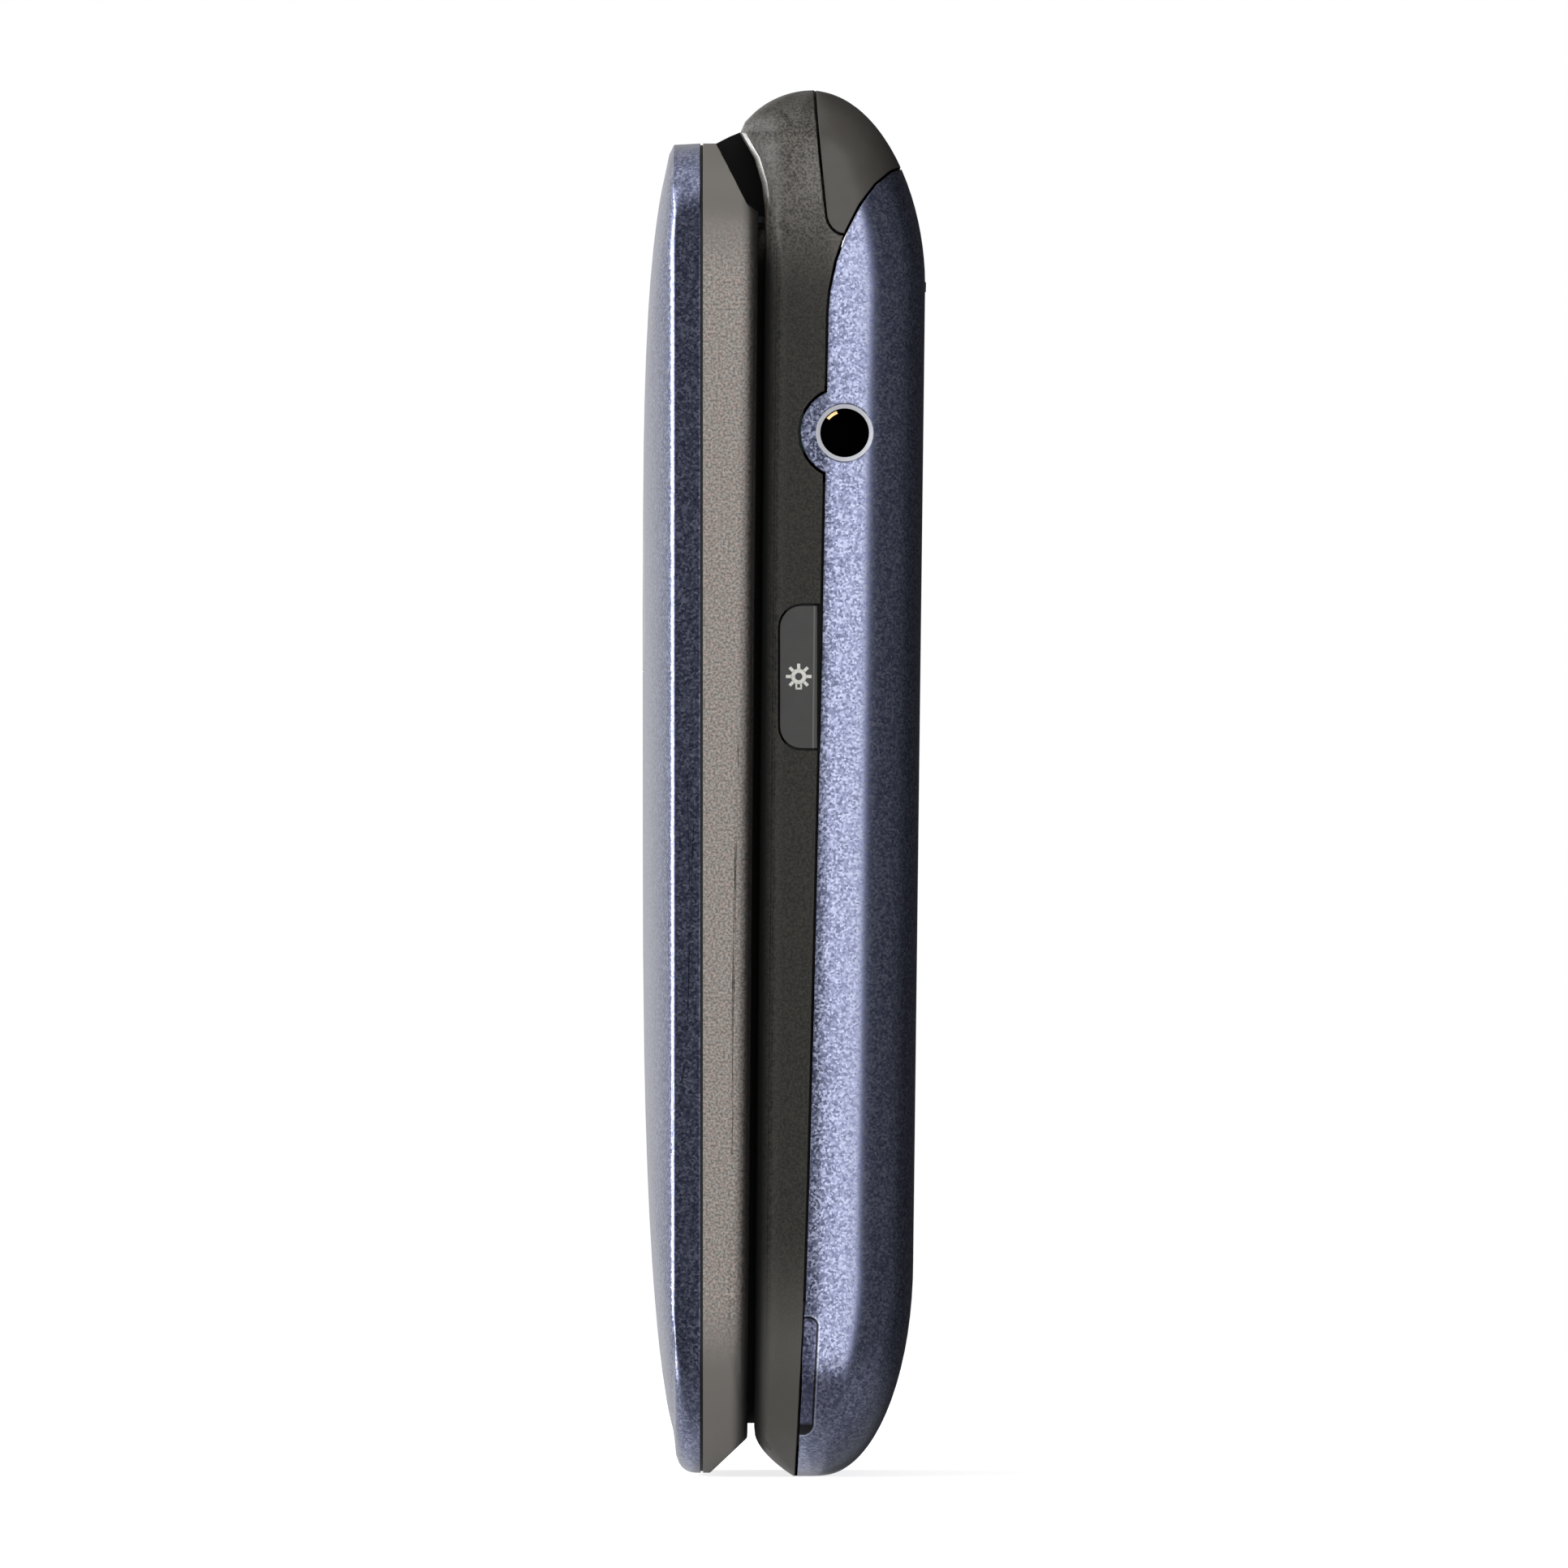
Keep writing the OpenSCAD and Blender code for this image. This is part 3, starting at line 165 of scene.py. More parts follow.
class Nodes:
    """A node tree and short ways to add to it."""

    def __init__(self, tree):
        self.nodes, self.links = tree.nodes, tree.links

    def feed(self, socket, value):
        """Plugs a wire into a socket, or sets its value; a colour gets an alpha of 1."""
        if isinstance(value, Wire):
            self.links.new(value.socket, socket)
        elif isinstance(value, tuple) and len(value) == 3 and socket.type == "RGBA":
            socket.default_value = (*value, 1)
        else:
            socket.default_value = value

    def node(self, kind, settings=None, inputs=None, output=0):
        """Any node: its settings first, a ramp's stops among them, then its sockets."""
        made = self.nodes.new(kind)
        for key, value in (settings or {}).items():
            if key == "stops":
                ramp = made.color_ramp
                while len(ramp.elements) < len(value):
                    ramp.elements.new(0.5)
                for element, (position, colour) in zip(ramp.elements, value):
                    element.position, element.color = position, (*colour, 1)
            else:
                setattr(made, key, value)
        for key, value in (inputs or {}).items():
            self.feed(made.inputs[key], value)
        return Wire(self, made.outputs[output])

    def split(self, vector):
        """The three parts of a vector."""
        parts = self.node("ShaderNodeSeparateXYZ", inputs={0: vector}).socket.node
        return [Wire(self, out) for out in parts.outputs]

    def vector(self, operation, *values):
        return self.node("ShaderNodeVectorMath", {"operation": operation}, dict(enumerate(values)))

    def scaled(self, vector, factor):
        return self.node("ShaderNodeVectorMath", {"operation": "SCALE"}, {0: vector, "Scale": factor})

    def blend(self, share, first, second):
        """Colour first where share is 0, second where it is 1."""
        return self.node("ShaderNodeMix", {"data_type": "RGBA"}, {0: share, 6: first, 7: second}, 2)


class Shader(Nodes):
    """A material's nodes, built from its Principled BSDF outwards. Lengths and places are in millimetres."""

    def __init__(self, name, **values):
        self.material = bpy.data.materials.new(name)
        self.material.use_nodes = True
        super().__init__(self.material.node_tree)
        self.principled = self.nodes["Principled BSDF"]
        self.set(**values)

    def set(self, **values):
        """Sets sockets of the Principled BSDF: Base_Color=..., with _ for a space."""
        for key, value in values.items():
            self.feed(self.principled.inputs[key.replace("_", " ")], value)

    def wired(self, key):
        """What is plugged into a socket of the Principled BSDF so far."""
        return Wire(self, self.principled.inputs[key].links[0].from_socket)

    def place(self):
        """Object coordinates as a vector."""
        return self.scaled(self.node("ShaderNodeTexCoord", output="Object"), 1 / MM)

    def axes(self):
        """Object coordinates as x, y and z."""
        return self.split(self.place())

    def depth(self):
        """Distance behind the leaning keypad face; in front of it, negative."""
        x, _, z = self.axes()
        return x - face_at(z)

    def noise(self, scale, detail=2.0, rough=0.5):
        """Cloudy noise with so many clouds to a millimetre."""
        return self.node("ShaderNodeTexNoise", None,
                         {"Vector": self.place(), "Scale": scale, "Detail": detail, "Roughness": rough})

    def bump(self, height, depth, normal):
        """Bump of a height from 0 to 1 over a normal."""
        return self.node("ShaderNodeBump", None,
                         {"Height": height, "Distance": depth * MM, "Strength": 1.0, "Normal": normal})

    def soft_edge(self, radius):
        """Normal that rounds the piece's own edges."""
        return self.node("ShaderNodeBevel", {"samples": 6}, {"Radius": radius * MM})


# ---------- finishes ----------

# Flakes and grains are counted along a millimetre.
FLAKES, FLAKE_TILT, FLAKE_METAL, FLAKE_ROUGH = 6.5, 0.1, 0.94, 0.33
FLAKE_COLOURS = [(0.0, (0.09, 0.1, 0.185)), (0.55, (0.19, 0.21, 0.33)), (1.0, (0.36, 0.385, 0.53))]
GRAINS, GRAIN_RELIEF = 5.5, 0.014
# Where a mask rises from 0 to 1: across the phone, out from the socket's axis to its painted highlight, up
# the recess to the top of its painted shade.
RIGHT_SIDE, JACK_RIM, RECESS_SHADE_STEP = (-20, -18), (2.07, 2.15), (3.8, 4.2)
# Up the base: the pale foot, painted light from below; the brown hump, its grain lifted with painted light;
# its darker crown, painted shade; and the end of the black edge, painted shade from the lid.
FOOT_PAINTED_LIGHT, HUMP_TONE, CROWN_PAINTED_SHADE, BLACK_SHADE_END = (7, 19), (86, 96), (98.5, 102), (89, 92)
# Behind the leaning face: the black edges of base and lid, painted shade by the gap, and the side keys' bevel
# with its painted highlight.
BLACK_EDGE, FRAME_GAP_SHADE, KEY_BEVEL_HIGHLIGHT = (0.15, 1.15), (-1.85, -0.75), (3.837, 3.937)
# The shine of the hinge ears, up and across; the lid's neck, across, up and from front to back; the rear
# cap's painted shade towards the back.
EAR_SHINE_Z, EAR_SHINE_X = (93, 99.6), (-1.2, 0.2)
NECK_SIDE, NECK_FOOT, NECK_FRONT = (15.7, 15.75), (92.6, 92.9), (-6.0, -5.6)
CAP_REAR_SHADE = (4.5, 9.5)
# A window's clear area: its middle up the lid, half width and half height.
MAIN_DISPLAY, OUTER_DISPLAY = (53.9, 18.3, 26.35), (68, 11.5, 7)


def scaled_colour(colour, *factors):
    """A colour times one factor, or times one for each channel."""
    return tuple(float(c) for c in np.array(colour) * np.array(factors))


def flake_lacquer():
    """Metallic lacquer: flakes in lavender blue, each tilted its own way, under a smooth clear coat.

    A flake is a cell of a cell pattern. The distance from the headset socket's axis gives a pale rim, a
    painted highlight on the hole's chamfer.
    The distance from a leaning round-ended bar gives the thumbnail recess a dim floor of painted shade, black
    painted shade at its bottom where the solid isn't cut, a dark groove line of painted shadow round it and a
    pale ridge line of painted highlight round that."""
    s = Shader("lavender_flake", Coat_Weight=0.6, Coat_Roughness=0.16, Coat_IOR=1.45)
    cells = s.node("ShaderNodeTexVoronoi", {"feature": "F1"}, {"Vector": s.place(), "Scale": FLAKES}, "Color")
    tilt = s.scaled(s.vector("SUBTRACT", cells, (0.5, 0.5, 0.5)), FLAKE_TILT)
    normal = s.vector("NORMALIZE", s.vector("ADD", s.soft_edge(0.1), tilt))
    glint = s.node("ShaderNodeSeparateColor", inputs={0: cells})
    colour = s.node("ShaderNodeValToRGB", {"stops": FLAKE_COLOURS}, {0: glint})

    x, y, z = s.axes()
    right_side = 1 - y.step(*RIGHT_SIDE)
    from_jack = ((x - JACK_X) ** 2 + (z - JACK_Z) ** 2) ** 0.5
    # Pale rim round the socket's hole, less metallic and rougher: a painted highlight on its chamfer.
    rim = (1 - from_jack.step(*JACK_RIM)) * right_side
    across = x - (z - RECESS_MID[1]) * RECESS_LEAN - RECESS_MID[0]
    over_x = (abs(across) - RECESS_HALF[0]).top(0.0)
    over_z = (abs(z - RECESS_MID[1]) - RECESS_HALF[1]).top(0.0)
    from_recess = (over_x ** 2 + over_z ** 2) ** 0.5 - RECESS_ROUND
    # Recess: dim floor and black bottom of painted shade, groove of painted shadow, ridge of painted
    # highlight.
    floor = (1 - from_recess.step(-0.05, 0.0)) * right_side
    groove = from_recess.within(-0.08, 0.07, 0.03) * right_side
    ridge = from_recess.within(0.1, 0.2, 0.03) * right_side
    black = (floor * (1 - z.step(*RECESS_SHADE_STEP))).top(groove * 0.95)

    colour = s.blend(floor * 0.35, colour, (0.08, 0.08, 0.18))
    colour = s.blend(ridge * 0.6, colour, (0.6, 0.63, 0.8))
    colour = s.blend(black, colour, (0.003, 0.003, 0.006))
    colour = s.blend(rim, colour, (0.75, 0.76, 0.82))
    s.set(Base_Color=colour, Normal=normal, Metallic=FLAKE_METAL * (1 - rim),
          Roughness=FLAKE_ROUGH + rim * 0.1)
    return s.material


def grained_plastic(name, dark, light, rough, low, high):
    """Moulded plastic with an eroded grain from low to high and a mottled tint, smooth beyond both.

    Noise over a threshold gives the worn spots; slower noise drifts their colour towards brown."""
    s = Shader(name, Specular_IOR_Level=0.5)
    z = s.axes()[2]
    grained = z.step(low - 5, low + 1) * (1 - z.step(high - 3, high + 3))
    grain = s.noise(GRAINS, 3.0, 0.62)
    tint = s.noise(GRAINS * 0.5)
    spots = grain.step(0.34, 0.68)
    pale = s.blend(tint.step(0.38, 0.66), light, scaled_colour(light, 1.08, 0.93, 0.9))
    plain = tuple(d * 0.85 + c * 0.15 for d, c in zip(dark, light))
    s.set(Base_Color=s.blend(grained, plain, s.blend(spots, dark, pale)),
          Roughness=rough + (spots - 0.5) * (grained * 0.1),
          Normal=s.bump(grained * grain, GRAIN_RELIEF, s.soft_edge(0.12)))
    return s


def smooth_plastic(name, colour, rough, spread=0.12):
    """Moulded plastic: slow noise spreads its colour, fine noise its gloss and surface."""
    s = Shader(name)
    cloud, fine = s.noise(0.8, 4.0), s.noise(14.0)
    s.set(Base_Color=s.blend(cloud, scaled_colour(colour, 1 - spread), scaled_colour(colour, 1 + spread)),
          Roughness=rough * 0.9 + fine * (rough * 0.2), Normal=s.bump(fine, 0.002, s.soft_edge(0.08)))
    return s.material


def bare_metal(name, colour, rough):
    """Drawn or turned metal: noise stretched along Z makes fine scratches."""
    s = Shader(name, Metallic=1.0)
    x, y, z = s.axes()
    stretched = s.node("ShaderNodeCombineXYZ", inputs={0: x * 12, 1: y * 12, 2: z * 0.8})
    lines = s.node("ShaderNodeTexNoise", None, {"Vector": stretched, "Scale": 1.0, "Detail": 3.0})
    s.set(Base_Color=s.blend(lines, scaled_colour(colour, 0.8), colour),
          Roughness=rough * 0.75 + lines * (rough * 0.5))
    return s.material


def housing_finish():
    """Charcoal grain of the base, browner and glossier on the hinge hump, where painted light lifts its
    speckle and painted shade darkens its top, and paler at the foot, painted light from below.

    Close behind the leaning face it is black up to the hinge, as the lid shades it there."""
    s = grained_plastic("charcoal_grain", (0.006, 0.006, 0.0045), (0.038, 0.037, 0.027), 0.42, 8, 96)
    x, _, z = s.axes()
    # Hump: a browner, lighter speckle, its grain partly painted light where the hump faces the lamps; less of
    # it at the top, painted shade.
    hump = z.step(*HUMP_TONE) * (1 - z.step(*CROWN_PAINTED_SHADE) * 0.6)
    speckle = s.blend(s.noise(6.0, 3.0).step(0.36, 0.64), (0.045, 0.041, 0.036), (0.17, 0.155, 0.135))
    # Black close behind the face, up to the hinge: painted shade from the lid.
    black = (1 - s.depth().step(*BLACK_EDGE)) * (1 - z.step(*BLACK_SHADE_END))
    colour = s.blend(hump, s.wired("Base Color"), speckle)
    # Paler at the foot: painted light from below.
    colour = s.blend(z.step(*FOOT_PAINTED_LIGHT), (0.1, 0.096, 0.085), colour)
    s.set(Base_Color=s.blend(black * 0.95, colour, (0.002, 0.002, 0.002)),
          Roughness=s.wired("Roughness") * (1 - hump * 0.2) + black * 0.5,
          Coat_Weight=z.within(*EAR_SHINE_Z, 1.5) * (1 - x.step(*EAR_SHINE_X)), Coat_Roughness=0.33,
          Coat_IOR=2.7)
    return s.material


def side_key_finish():
    """Smooth grey of the side keys with a paler bevel line along the rear edge, a painted highlight."""
    s = Shader("side_key_grey")
    cloud = s.blend(s.noise(0.8, 4.0), (0.048, 0.05, 0.048), (0.066, 0.067, 0.064))
    # Paler line on the rear bevel: a painted highlight.
    bevel = s.depth().within(*KEY_BEVEL_HIGHLIGHT, 0.04)
    s.set(Base_Color=s.blend(bevel * 0.6, cloud, (0.2, 0.2, 0.19)), Roughness=0.38 + s.noise(14.0) * 0.08,
          Normal=s.soft_edge(0.12))
    return s.material


def cap_finish():
    """Satin brown-grey of the rear cap, darker towards the back: painted shade."""
    s = Shader("satin_cap")
    cloud = s.blend(s.noise(0.8, 4.0), (0.082, 0.075, 0.067), (0.104, 0.096, 0.086))
    # Darker towards the back: painted shade where the cap turns from the light.
    rear = s.axes()[0].step(*CAP_REAR_SHADE)
    s.set(Base_Color=s.blend(rear * 0.65, cloud, (0.012, 0.011, 0.01)), Roughness=0.42 + s.noise(14.0) * 0.06,
          Normal=s.soft_edge(0.1))
    return s.material


def lid_frame_finish():
    """Grey-brown grain of the lid's frame, black with painted shade close to the gap and matt black on neck
    and barrel.
    """
    # Grained and paler from 13 to 91; beyond, towards the round ends, plain and darker: painted shade where
    # the ends turn from the light.
    s = grained_plastic("frame_grain", (0.15, 0.138, 0.125), (0.5, 0.46, 0.42), 0.42, 13, 91)
    x, y, z = s.axes()
    neck = (1 - abs(y).step(*NECK_SIDE)) * z.step(*NECK_FOOT) * x.step(*NECK_FRONT)
    # Black close to the gap: painted shade.
    colour = s.blend(s.depth().step(*FRAME_GAP_SHADE) * 0.93, s.wired("Base Color"), (0.004, 0.004, 0.004))
    s.set(Base_Color=s.blend(neck, colour, (0.003, 0.003, 0.003)),
          Roughness=s.wired("Roughness") + neck * 0.4)
    return s.material


def window_finish(name, centre_z, half_y, half_z):
    """Glossy pane: black border print round a dark grey display area, a soft-edged rectangle."""
    s = Shader(name, Coat_Weight=1.0, Coat_Roughness=0.03)
    _, y, z = s.axes()
    display = y.within(-half_y, half_y, 0.05) * z.within(centre_z - half_z, centre_z + half_z, 0.05)
    s.set(Base_Color=s.blend(display, (0.004, 0.004, 0.005), (0.02, 0.022, 0.027)),
          Roughness=0.05 + s.noise(0.4, 4.0) * 0.08)
    return s.material


def hole_shade_black(name):
    """Matt black of a deep hole's lining, with almost no sheen, darker than black plastic: painted shade of
    the hole.
    """
    s = Shader(name, Specular_IOR_Level=0.1, Roughness=0.9)
    s.set(Base_Color=s.blend(s.noise(3.0), (0.002, 0.002, 0.002), (0.005, 0.005, 0.005)))
    return s.material


FINISHES = {
    "blue_flake": flake_lacquer(),
    "housing_plastic": housing_finish(),
    "cap_plastic": cap_finish(),
    "frame_plastic": lid_frame_finish(),
    "side_key_plastic": side_key_finish(),
    "key_plastic": smooth_plastic("key_black", (0.035, 0.035, 0.038), 0.3),
    "ring_metal": smooth_plastic("ring_silver", (0.4, 0.41, 0.43), 0.3),
    "black_plastic": smooth_plastic("inner_black", (0.012, 0.012, 0.013), 0.55),
    "can_label": smooth_plastic("battery_label", (0.12, 0.125, 0.13), 0.5),
    "board_green": smooth_plastic("solder_mask", (0.02, 0.1, 0.05), 0.4, 0.3),
    "spring_steel": bare_metal("spring_steel", (0.6, 0.6, 0.6), 0.3),
    "brass_parts": bare_metal("contact_brass", (0.72, 0.52, 0.25), 0.3),
    "pale_plastic": smooth_plastic("bush_cream", (0.7, 0.67, 0.6), 0.4),
    "film_amber": smooth_plastic("ribbon_amber", (0.45, 0.22, 0.06), 0.3),
    "window_glass": window_finish("window_black", *MAIN_DISPLAY),
    "display_glass": smooth_plastic("display_grey", (0.03, 0.034, 0.04), 0.12),
    "lamp_lens": smooth_plastic("lamp_cream", (0.75, 0.72, 0.55), 0.15),
    "bumper_rubber": smooth_plastic("bumper_black", (0.02, 0.02, 0.02), 0.7),
}
SPECIAL_FINISHES = {
    # The socket gets the painted shade of a deep hole.
    "headset_jack": hole_shade_black("socket_shade_black"),
    "hinge_shaft": smooth_plastic("oxide_steel", (0.03, 0.03, 0.03), 0.6),
    "outer_window": window_finish("outer_window_black", *OUTER_DISPLAY),
}
PRINT_WHITE = smooth_plastic("print_white", (0.78, 0.77, 0.72), 0.5, 0.04)
PRINT_GREEN = smooth_plastic("print_green", (0.05, 0.5, 0.12), 0.5, 0.04)
PRINT_RED = smooth_plastic("print_red", (0.6, 0.03, 0.03), 0.5, 0.04)

SLOT_OF = {part["node"]: part["material_slot"] for part in frame["record"]["subparts"]}
BODY_OF = {node: frame["nodes"][node]["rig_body"] for node in SLOT_OF}
LID, PHONE = BODY_OF["lid_cover"], BODY_OF["front_housing"]
for node, slot in SLOT_OF.items():
    materials = frame["nodes"][node].data.materials
    materials.clear()
    materials.append(SPECIAL_FINISHES.get(node, FINISHES[slot]))


# ---------- the true forms of the shells ----------
# Each is a list of rings, and a ring an array of points. The two parameters of a form are the ring's level
# and the place on the ring.

def front_at(z):
    """Front edge of the base: toe chamfer, leaning face, then forward-swinging neck or round ear, whichever
    lies farther back."""
    if z < TOE_H:
        return face_at(z) + TOE_D * (1 - z / TOE_H) ** TOE_BEND
    if z < NECK_Z:
        return face_at(z)
    swing = face_at(z) - NOSE_D * ((z - NECK_Z) / (NOSE_Z - NECK_Z)) ** NOSE_BEND
    return max(swing, CROWN_X - math.sqrt(max(0, EAR_R ** 2 - max(0, z - BASE_LEN + EAR_R) ** 2)))


def back_at(z):
    """Rear edge of the base: elliptical heel, leaning flat, superelliptical hump."""
    if z < HEEL_H:
        return HEEL_X - HEEL_D + HEEL_D * math.sqrt(max(0, 1 - (1 - z / HEEL_H) ** 2))
    if z < HUMP_Z:
        return back_flat(z)
    rise = max(0, 1 - ((z - HUMP_Z) / HUMP_H) ** HUMP_BEND) ** (1 / HUMP_BEND)
    return CROWN_X + (back_flat(HUMP_Z) - CROWN_X) * rise


def side_at(z):
    """Half width of the base, with round corners at both ends."""
    if z < LOW_CORNER:
        return BODY_HALF - LOW_CORNER + math.sqrt(max(0, LOW_CORNER ** 2 - (LOW_CORNER - z) ** 2))
    rise = max(0, z - BASE_LEN + TOP_CORNER)
    return BODY_HALF - TOP_CORNER + math.sqrt(max(0, TOP_CORNER ** 2 - rise ** 2))


def base_ring(z):
    """Level slice of the base: front edge arc, widening side that levels off at a soft waist, elliptical rear
    edge, and the same mirrored. Towards the ends, where the base gets thin, its edges shrink with it."""
    front, back, w = front_at(z), back_at(z), side_at(z)
    middle, half = (front + back) / 2, max(0.02, (back - front) / 2)
    edge = min(BASE_EDGE + EAR_SOFT * min(1, max(0, (z - NECK_Z) / SOFT_RISE)), 0.4 * half)
    rear = min(REAR_EDGE_D, 0.8 * half)
    start, end = middle - half + edge, middle + half - rear
    taper = SIDE_TAPER * min(1, half / 4)
    slope = taper / (WAIST_SHARE * (end - start))

    a = np.linspace(math.pi, 1.5 * math.pi - math.atan(slope), 12)
    front_arc = np.column_stack([start + edge * np.cos(a), w - taper - edge - edge * np.sin(a)])
    x = np.linspace(start + edge * 0.05, end - 0.02, 40)
    rise = slope * (x - start)
    gap = np.maximum(WAIST_SOFT - np.abs(rise - taper), 0) / WAIST_SOFT
    side = np.column_stack([x, w - taper + np.minimum(rise, taper) - gap ** 2 * WAIST_SOFT / 4])
    a = np.linspace(0, math.pi / 2, 20)
    rear_arc = np.column_stack([end + rear * np.sin(a), w - REAR_EDGE_W + REAR_EDGE_W * np.cos(a)])

    half_ring = np.vstack([front_arc, side, rear_arc])
    x, y = np.vstack([half_ring * (1, -1), half_ring[::-1]]).T
    return np.column_stack([x, y, np.full(len(x), z)])


def base_form():
    """Whole outside of the base: level slices, closer together where heel, hump and crown bend."""
    quarter = np.linspace(0, math.pi / 2, 40)
    top = np.linspace(0, math.pi / 2, 30)[1:-1]
    levels = [HEEL_H * (1 - np.cos(quarter)), np.linspace(HEEL_H, HUMP_Z, 12)[1:-1],
              np.linspace(HUMP_Z, NOSE_Z, 44), NOSE_Z + (BASE_LEN - NOSE_Z) * np.sin(top),
              [BASE_LEN - 0.0005]]
    return [base_ring(z) for z in np.concatenate(levels)]


def round_box(inset, lift, top, low_corner, high_corner):
    """Rectangle with round corners as (y, z): a quarter circle at each, from the lower right one on."""
    w, corners = BODY_HALF - inset, []
    for side, level, r, start in ((1, lift, low_corner, -90), (1, top, high_corner, 0),
                                  (-1, top, high_corner, 90), (-1, lift, low_corner, 180)):
        a = np.radians(np.linspace(start, start + 90, 19))
        up = r if level == lift else -r
        corners.append(np.column_stack([side * (w - r) + r * np.cos(a), level + up + r * np.sin(a)]))
    return np.vstack(corners)


def lid_box(inset):
    """The lid's outline, drawn in by an inset with its corners as they are."""
    return round_box(inset, LID_LIFT + inset, LID_TOP - inset, LOW_CORNER, LID_CORNER)


def crown_form():
    """Outside of the lid cover: tapering band, soft crease, crown.

    The band's ring u draws in as u grows, and its foot follows a cubic superellipse. The crown is a
    superellipse over the share k of the way out. Its inner power is a mean of the CROWN_FALL values, weighed
    by the squares of the direction's two parts. The crease is a quadratic curve from band to crown."""
    mid_z = (LID_TOP + LID_LIFT + CREASE_LIFT) / 2

    def band_ring(u):
        box = round_box(BAND_TAPER * u, LID_LIFT + CREASE_LIFT * (1 - (1 - u ** 3) ** (1 / 3)),
                        LID_TOP - BAND_TOP_TAPER * u - BAND_TOP_ROUND * u ** 8,
                        LOW_CORNER - BAND_CORNER_TAPER * u, LID_CORNER)
        x = LID_SEAM - SEAM_GAP / 2 - (BAND_T - SEAM_GAP / 2) * u
        return np.column_stack([np.full(len(box), x), box])

    edge = band_ring(1)
    u, v = edge[:, 1] / BODY_HALF, (edge[:, 2] - mid_z) / (LID_TOP - mid_z)
    lengthwise = np.where(v > 0, CROWN_FALL_TOP, CROWN_FALL_FOOT)
    fall = (CROWN_FALL_SIDE * u ** 2 + lengthwise * v ** 2) / (u ** 2 + v ** 2)

    def crown_ring(k):
        x = edge[:, 0] - CROWN_H * (1 - k ** fall) ** (1 / CROWN_BEND)
        return np.column_stack([x, edge[:, 1] * k, mid_z + (edge[:, 2] - mid_z) * k])

    before, after = band_ring(CREASE_SHARE), crown_ring(1 - CROWN_RIM)
    crease = [before * (1 - t) ** 2 + edge * 2 * t * (1 - t) + after * t * t
              for t in np.linspace(0, 1, 9)[1:-1]]
    shares = 1 - np.linspace(CROWN_RIM ** 0.5, CROWN_HEART ** 0.5, 34) ** 2
    return [band_ring(u) for u in np.linspace(0, CREASE_SHARE, 9)] + crease + [crown_ring(k) for k in shares]


def frame_form():
    """Outside of the lid frame: straight sides and a round edge at the inner face, smaller near both ends.

    The plane of the toe cuts it off, a little farther back for each ring so that no two of them meet."""
    def edge_ring(edge, a):
        box = lid_box(edge * (1 - math.cos(a)))
        return np.column_stack([face_at(box[:, 1]) - LID_GAP - edge * (1 - math.sin(a)), box])

    outline = lid_box(0)
    rings = [np.column_stack([np.full(len(outline), LID_SEAM + SEAM_GAP / 2), outline])]
    for a in np.linspace(0, math.pi / 2, 12):
        small, large = edge_ring(FRAME_END_EDGE, a), edge_ring(FRAME_EDGE, a)
        ring = small + (large - small) * np.interp(small[:, 2:], FRAME_EDGE_LEVELS, (0, 1, 1, 0))
        toe = face_at(0) - LID_GAP - TOE_CUT + (ring[:, 2] - LID_LIFT) * (1 + TOE_CUT_RISE / TOE_CUT)
        ring[:, 0] = np.minimum(ring[:, 0], toe + RING_SPACING * len(rings))
        rings.append(ring)
    return rings


def quads(turns, count, closed):
    """Corner numbers of the faces between neighbouring rings; closed joins the last ring to the first."""
    i, j = np.meshgrid(np.arange(turns if closed else turns - 1), np.arange(count), indexing="ij")
    here, there, onward = i * count, (i + 1) % turns * count, (j + 1) % count
    return np.stack([here + j, there + j, there + onward, here + onward], axis=-1).reshape(-1, 4)


# ---------- shells laid on the true forms ----------

# Skin is what lies this near the form, stands no more than this proud of it and faces its way.
SKIN_REACH, SKIN_PROUD, SKIN_FACING = 0.6, 0.12, 0.75
# An edge longer than the shortest is halved where the form sags from it or bends along it.
SHORTEST_EDGE, SAG, BEND = 0.3, 0.012, math.cos(math.radians(5))
EDGE_STATIONS = (0.2, 0.5, 0.9, 1.25, 1.5, 1.75)
SPLIT_ROUNDS, MOST_FACES = 9, 90000
WELD, CREASE_ANGLE = 0.001 * MM, math.radians(30)


class Form:
    """Surface through rings of points, with a smooth outward normal at every point of it.

    A point's normal is the sum of the facing of the triangles round it, which weighs them by their area."""

    def __init__(self, rings):
        rings = np.array(rings, float) * MM
        corners = quads(*rings.shape[:2], closed=False)
        self.points = rings.reshape(-1, 3)
        self.triangles = np.vstack([corners[:, [0, 1, 2]], corners[:, [0, 2, 3]]])
        a, b, c = self.points[self.triangles].transpose(1, 0, 2)
        facing = np.cross(b - a, c - a)
        normals = np.zeros_like(self.points)
        for k in range(3):
            np.add.at(normals, self.triangles[:, k], facing)
        outward = np.sign(np.sum(normals * (self.points - self.points.mean(axis=0))))
        self.normals = outward * normals / np.linalg.norm(normals, axis=1, keepdims=True).clip(1e-12)
        self.tree = BVHTree.FromPolygons(self.points.tolist(), self.triangles.tolist())

    def nearest(self, spot):
        """Nearest point, its normal and the distance to it in millimetres."""
        place, _, index, gap = self.tree.find_nearest(spot)
        ids = self.triangles[index]
        share = np.array(poly_3d_calc([Vector(self.points[i]) for i in ids], place))
        return place, Vector(share @ self.normals[ids]).normalized(), gap / MM

    def bends(self, edge):
        """True if the surface leaves an edge between two of its points, or turns a few degrees along it."""
        a, b = (vert.co for vert in edge.verts)
        if (a - b).length < SHORTEST_EDGE * MM:
            return False
        return self.nearest((a + b) / 2)[2] > SAG or self.nearest(a)[1].dot(self.nearest(b)[1]) < BEND


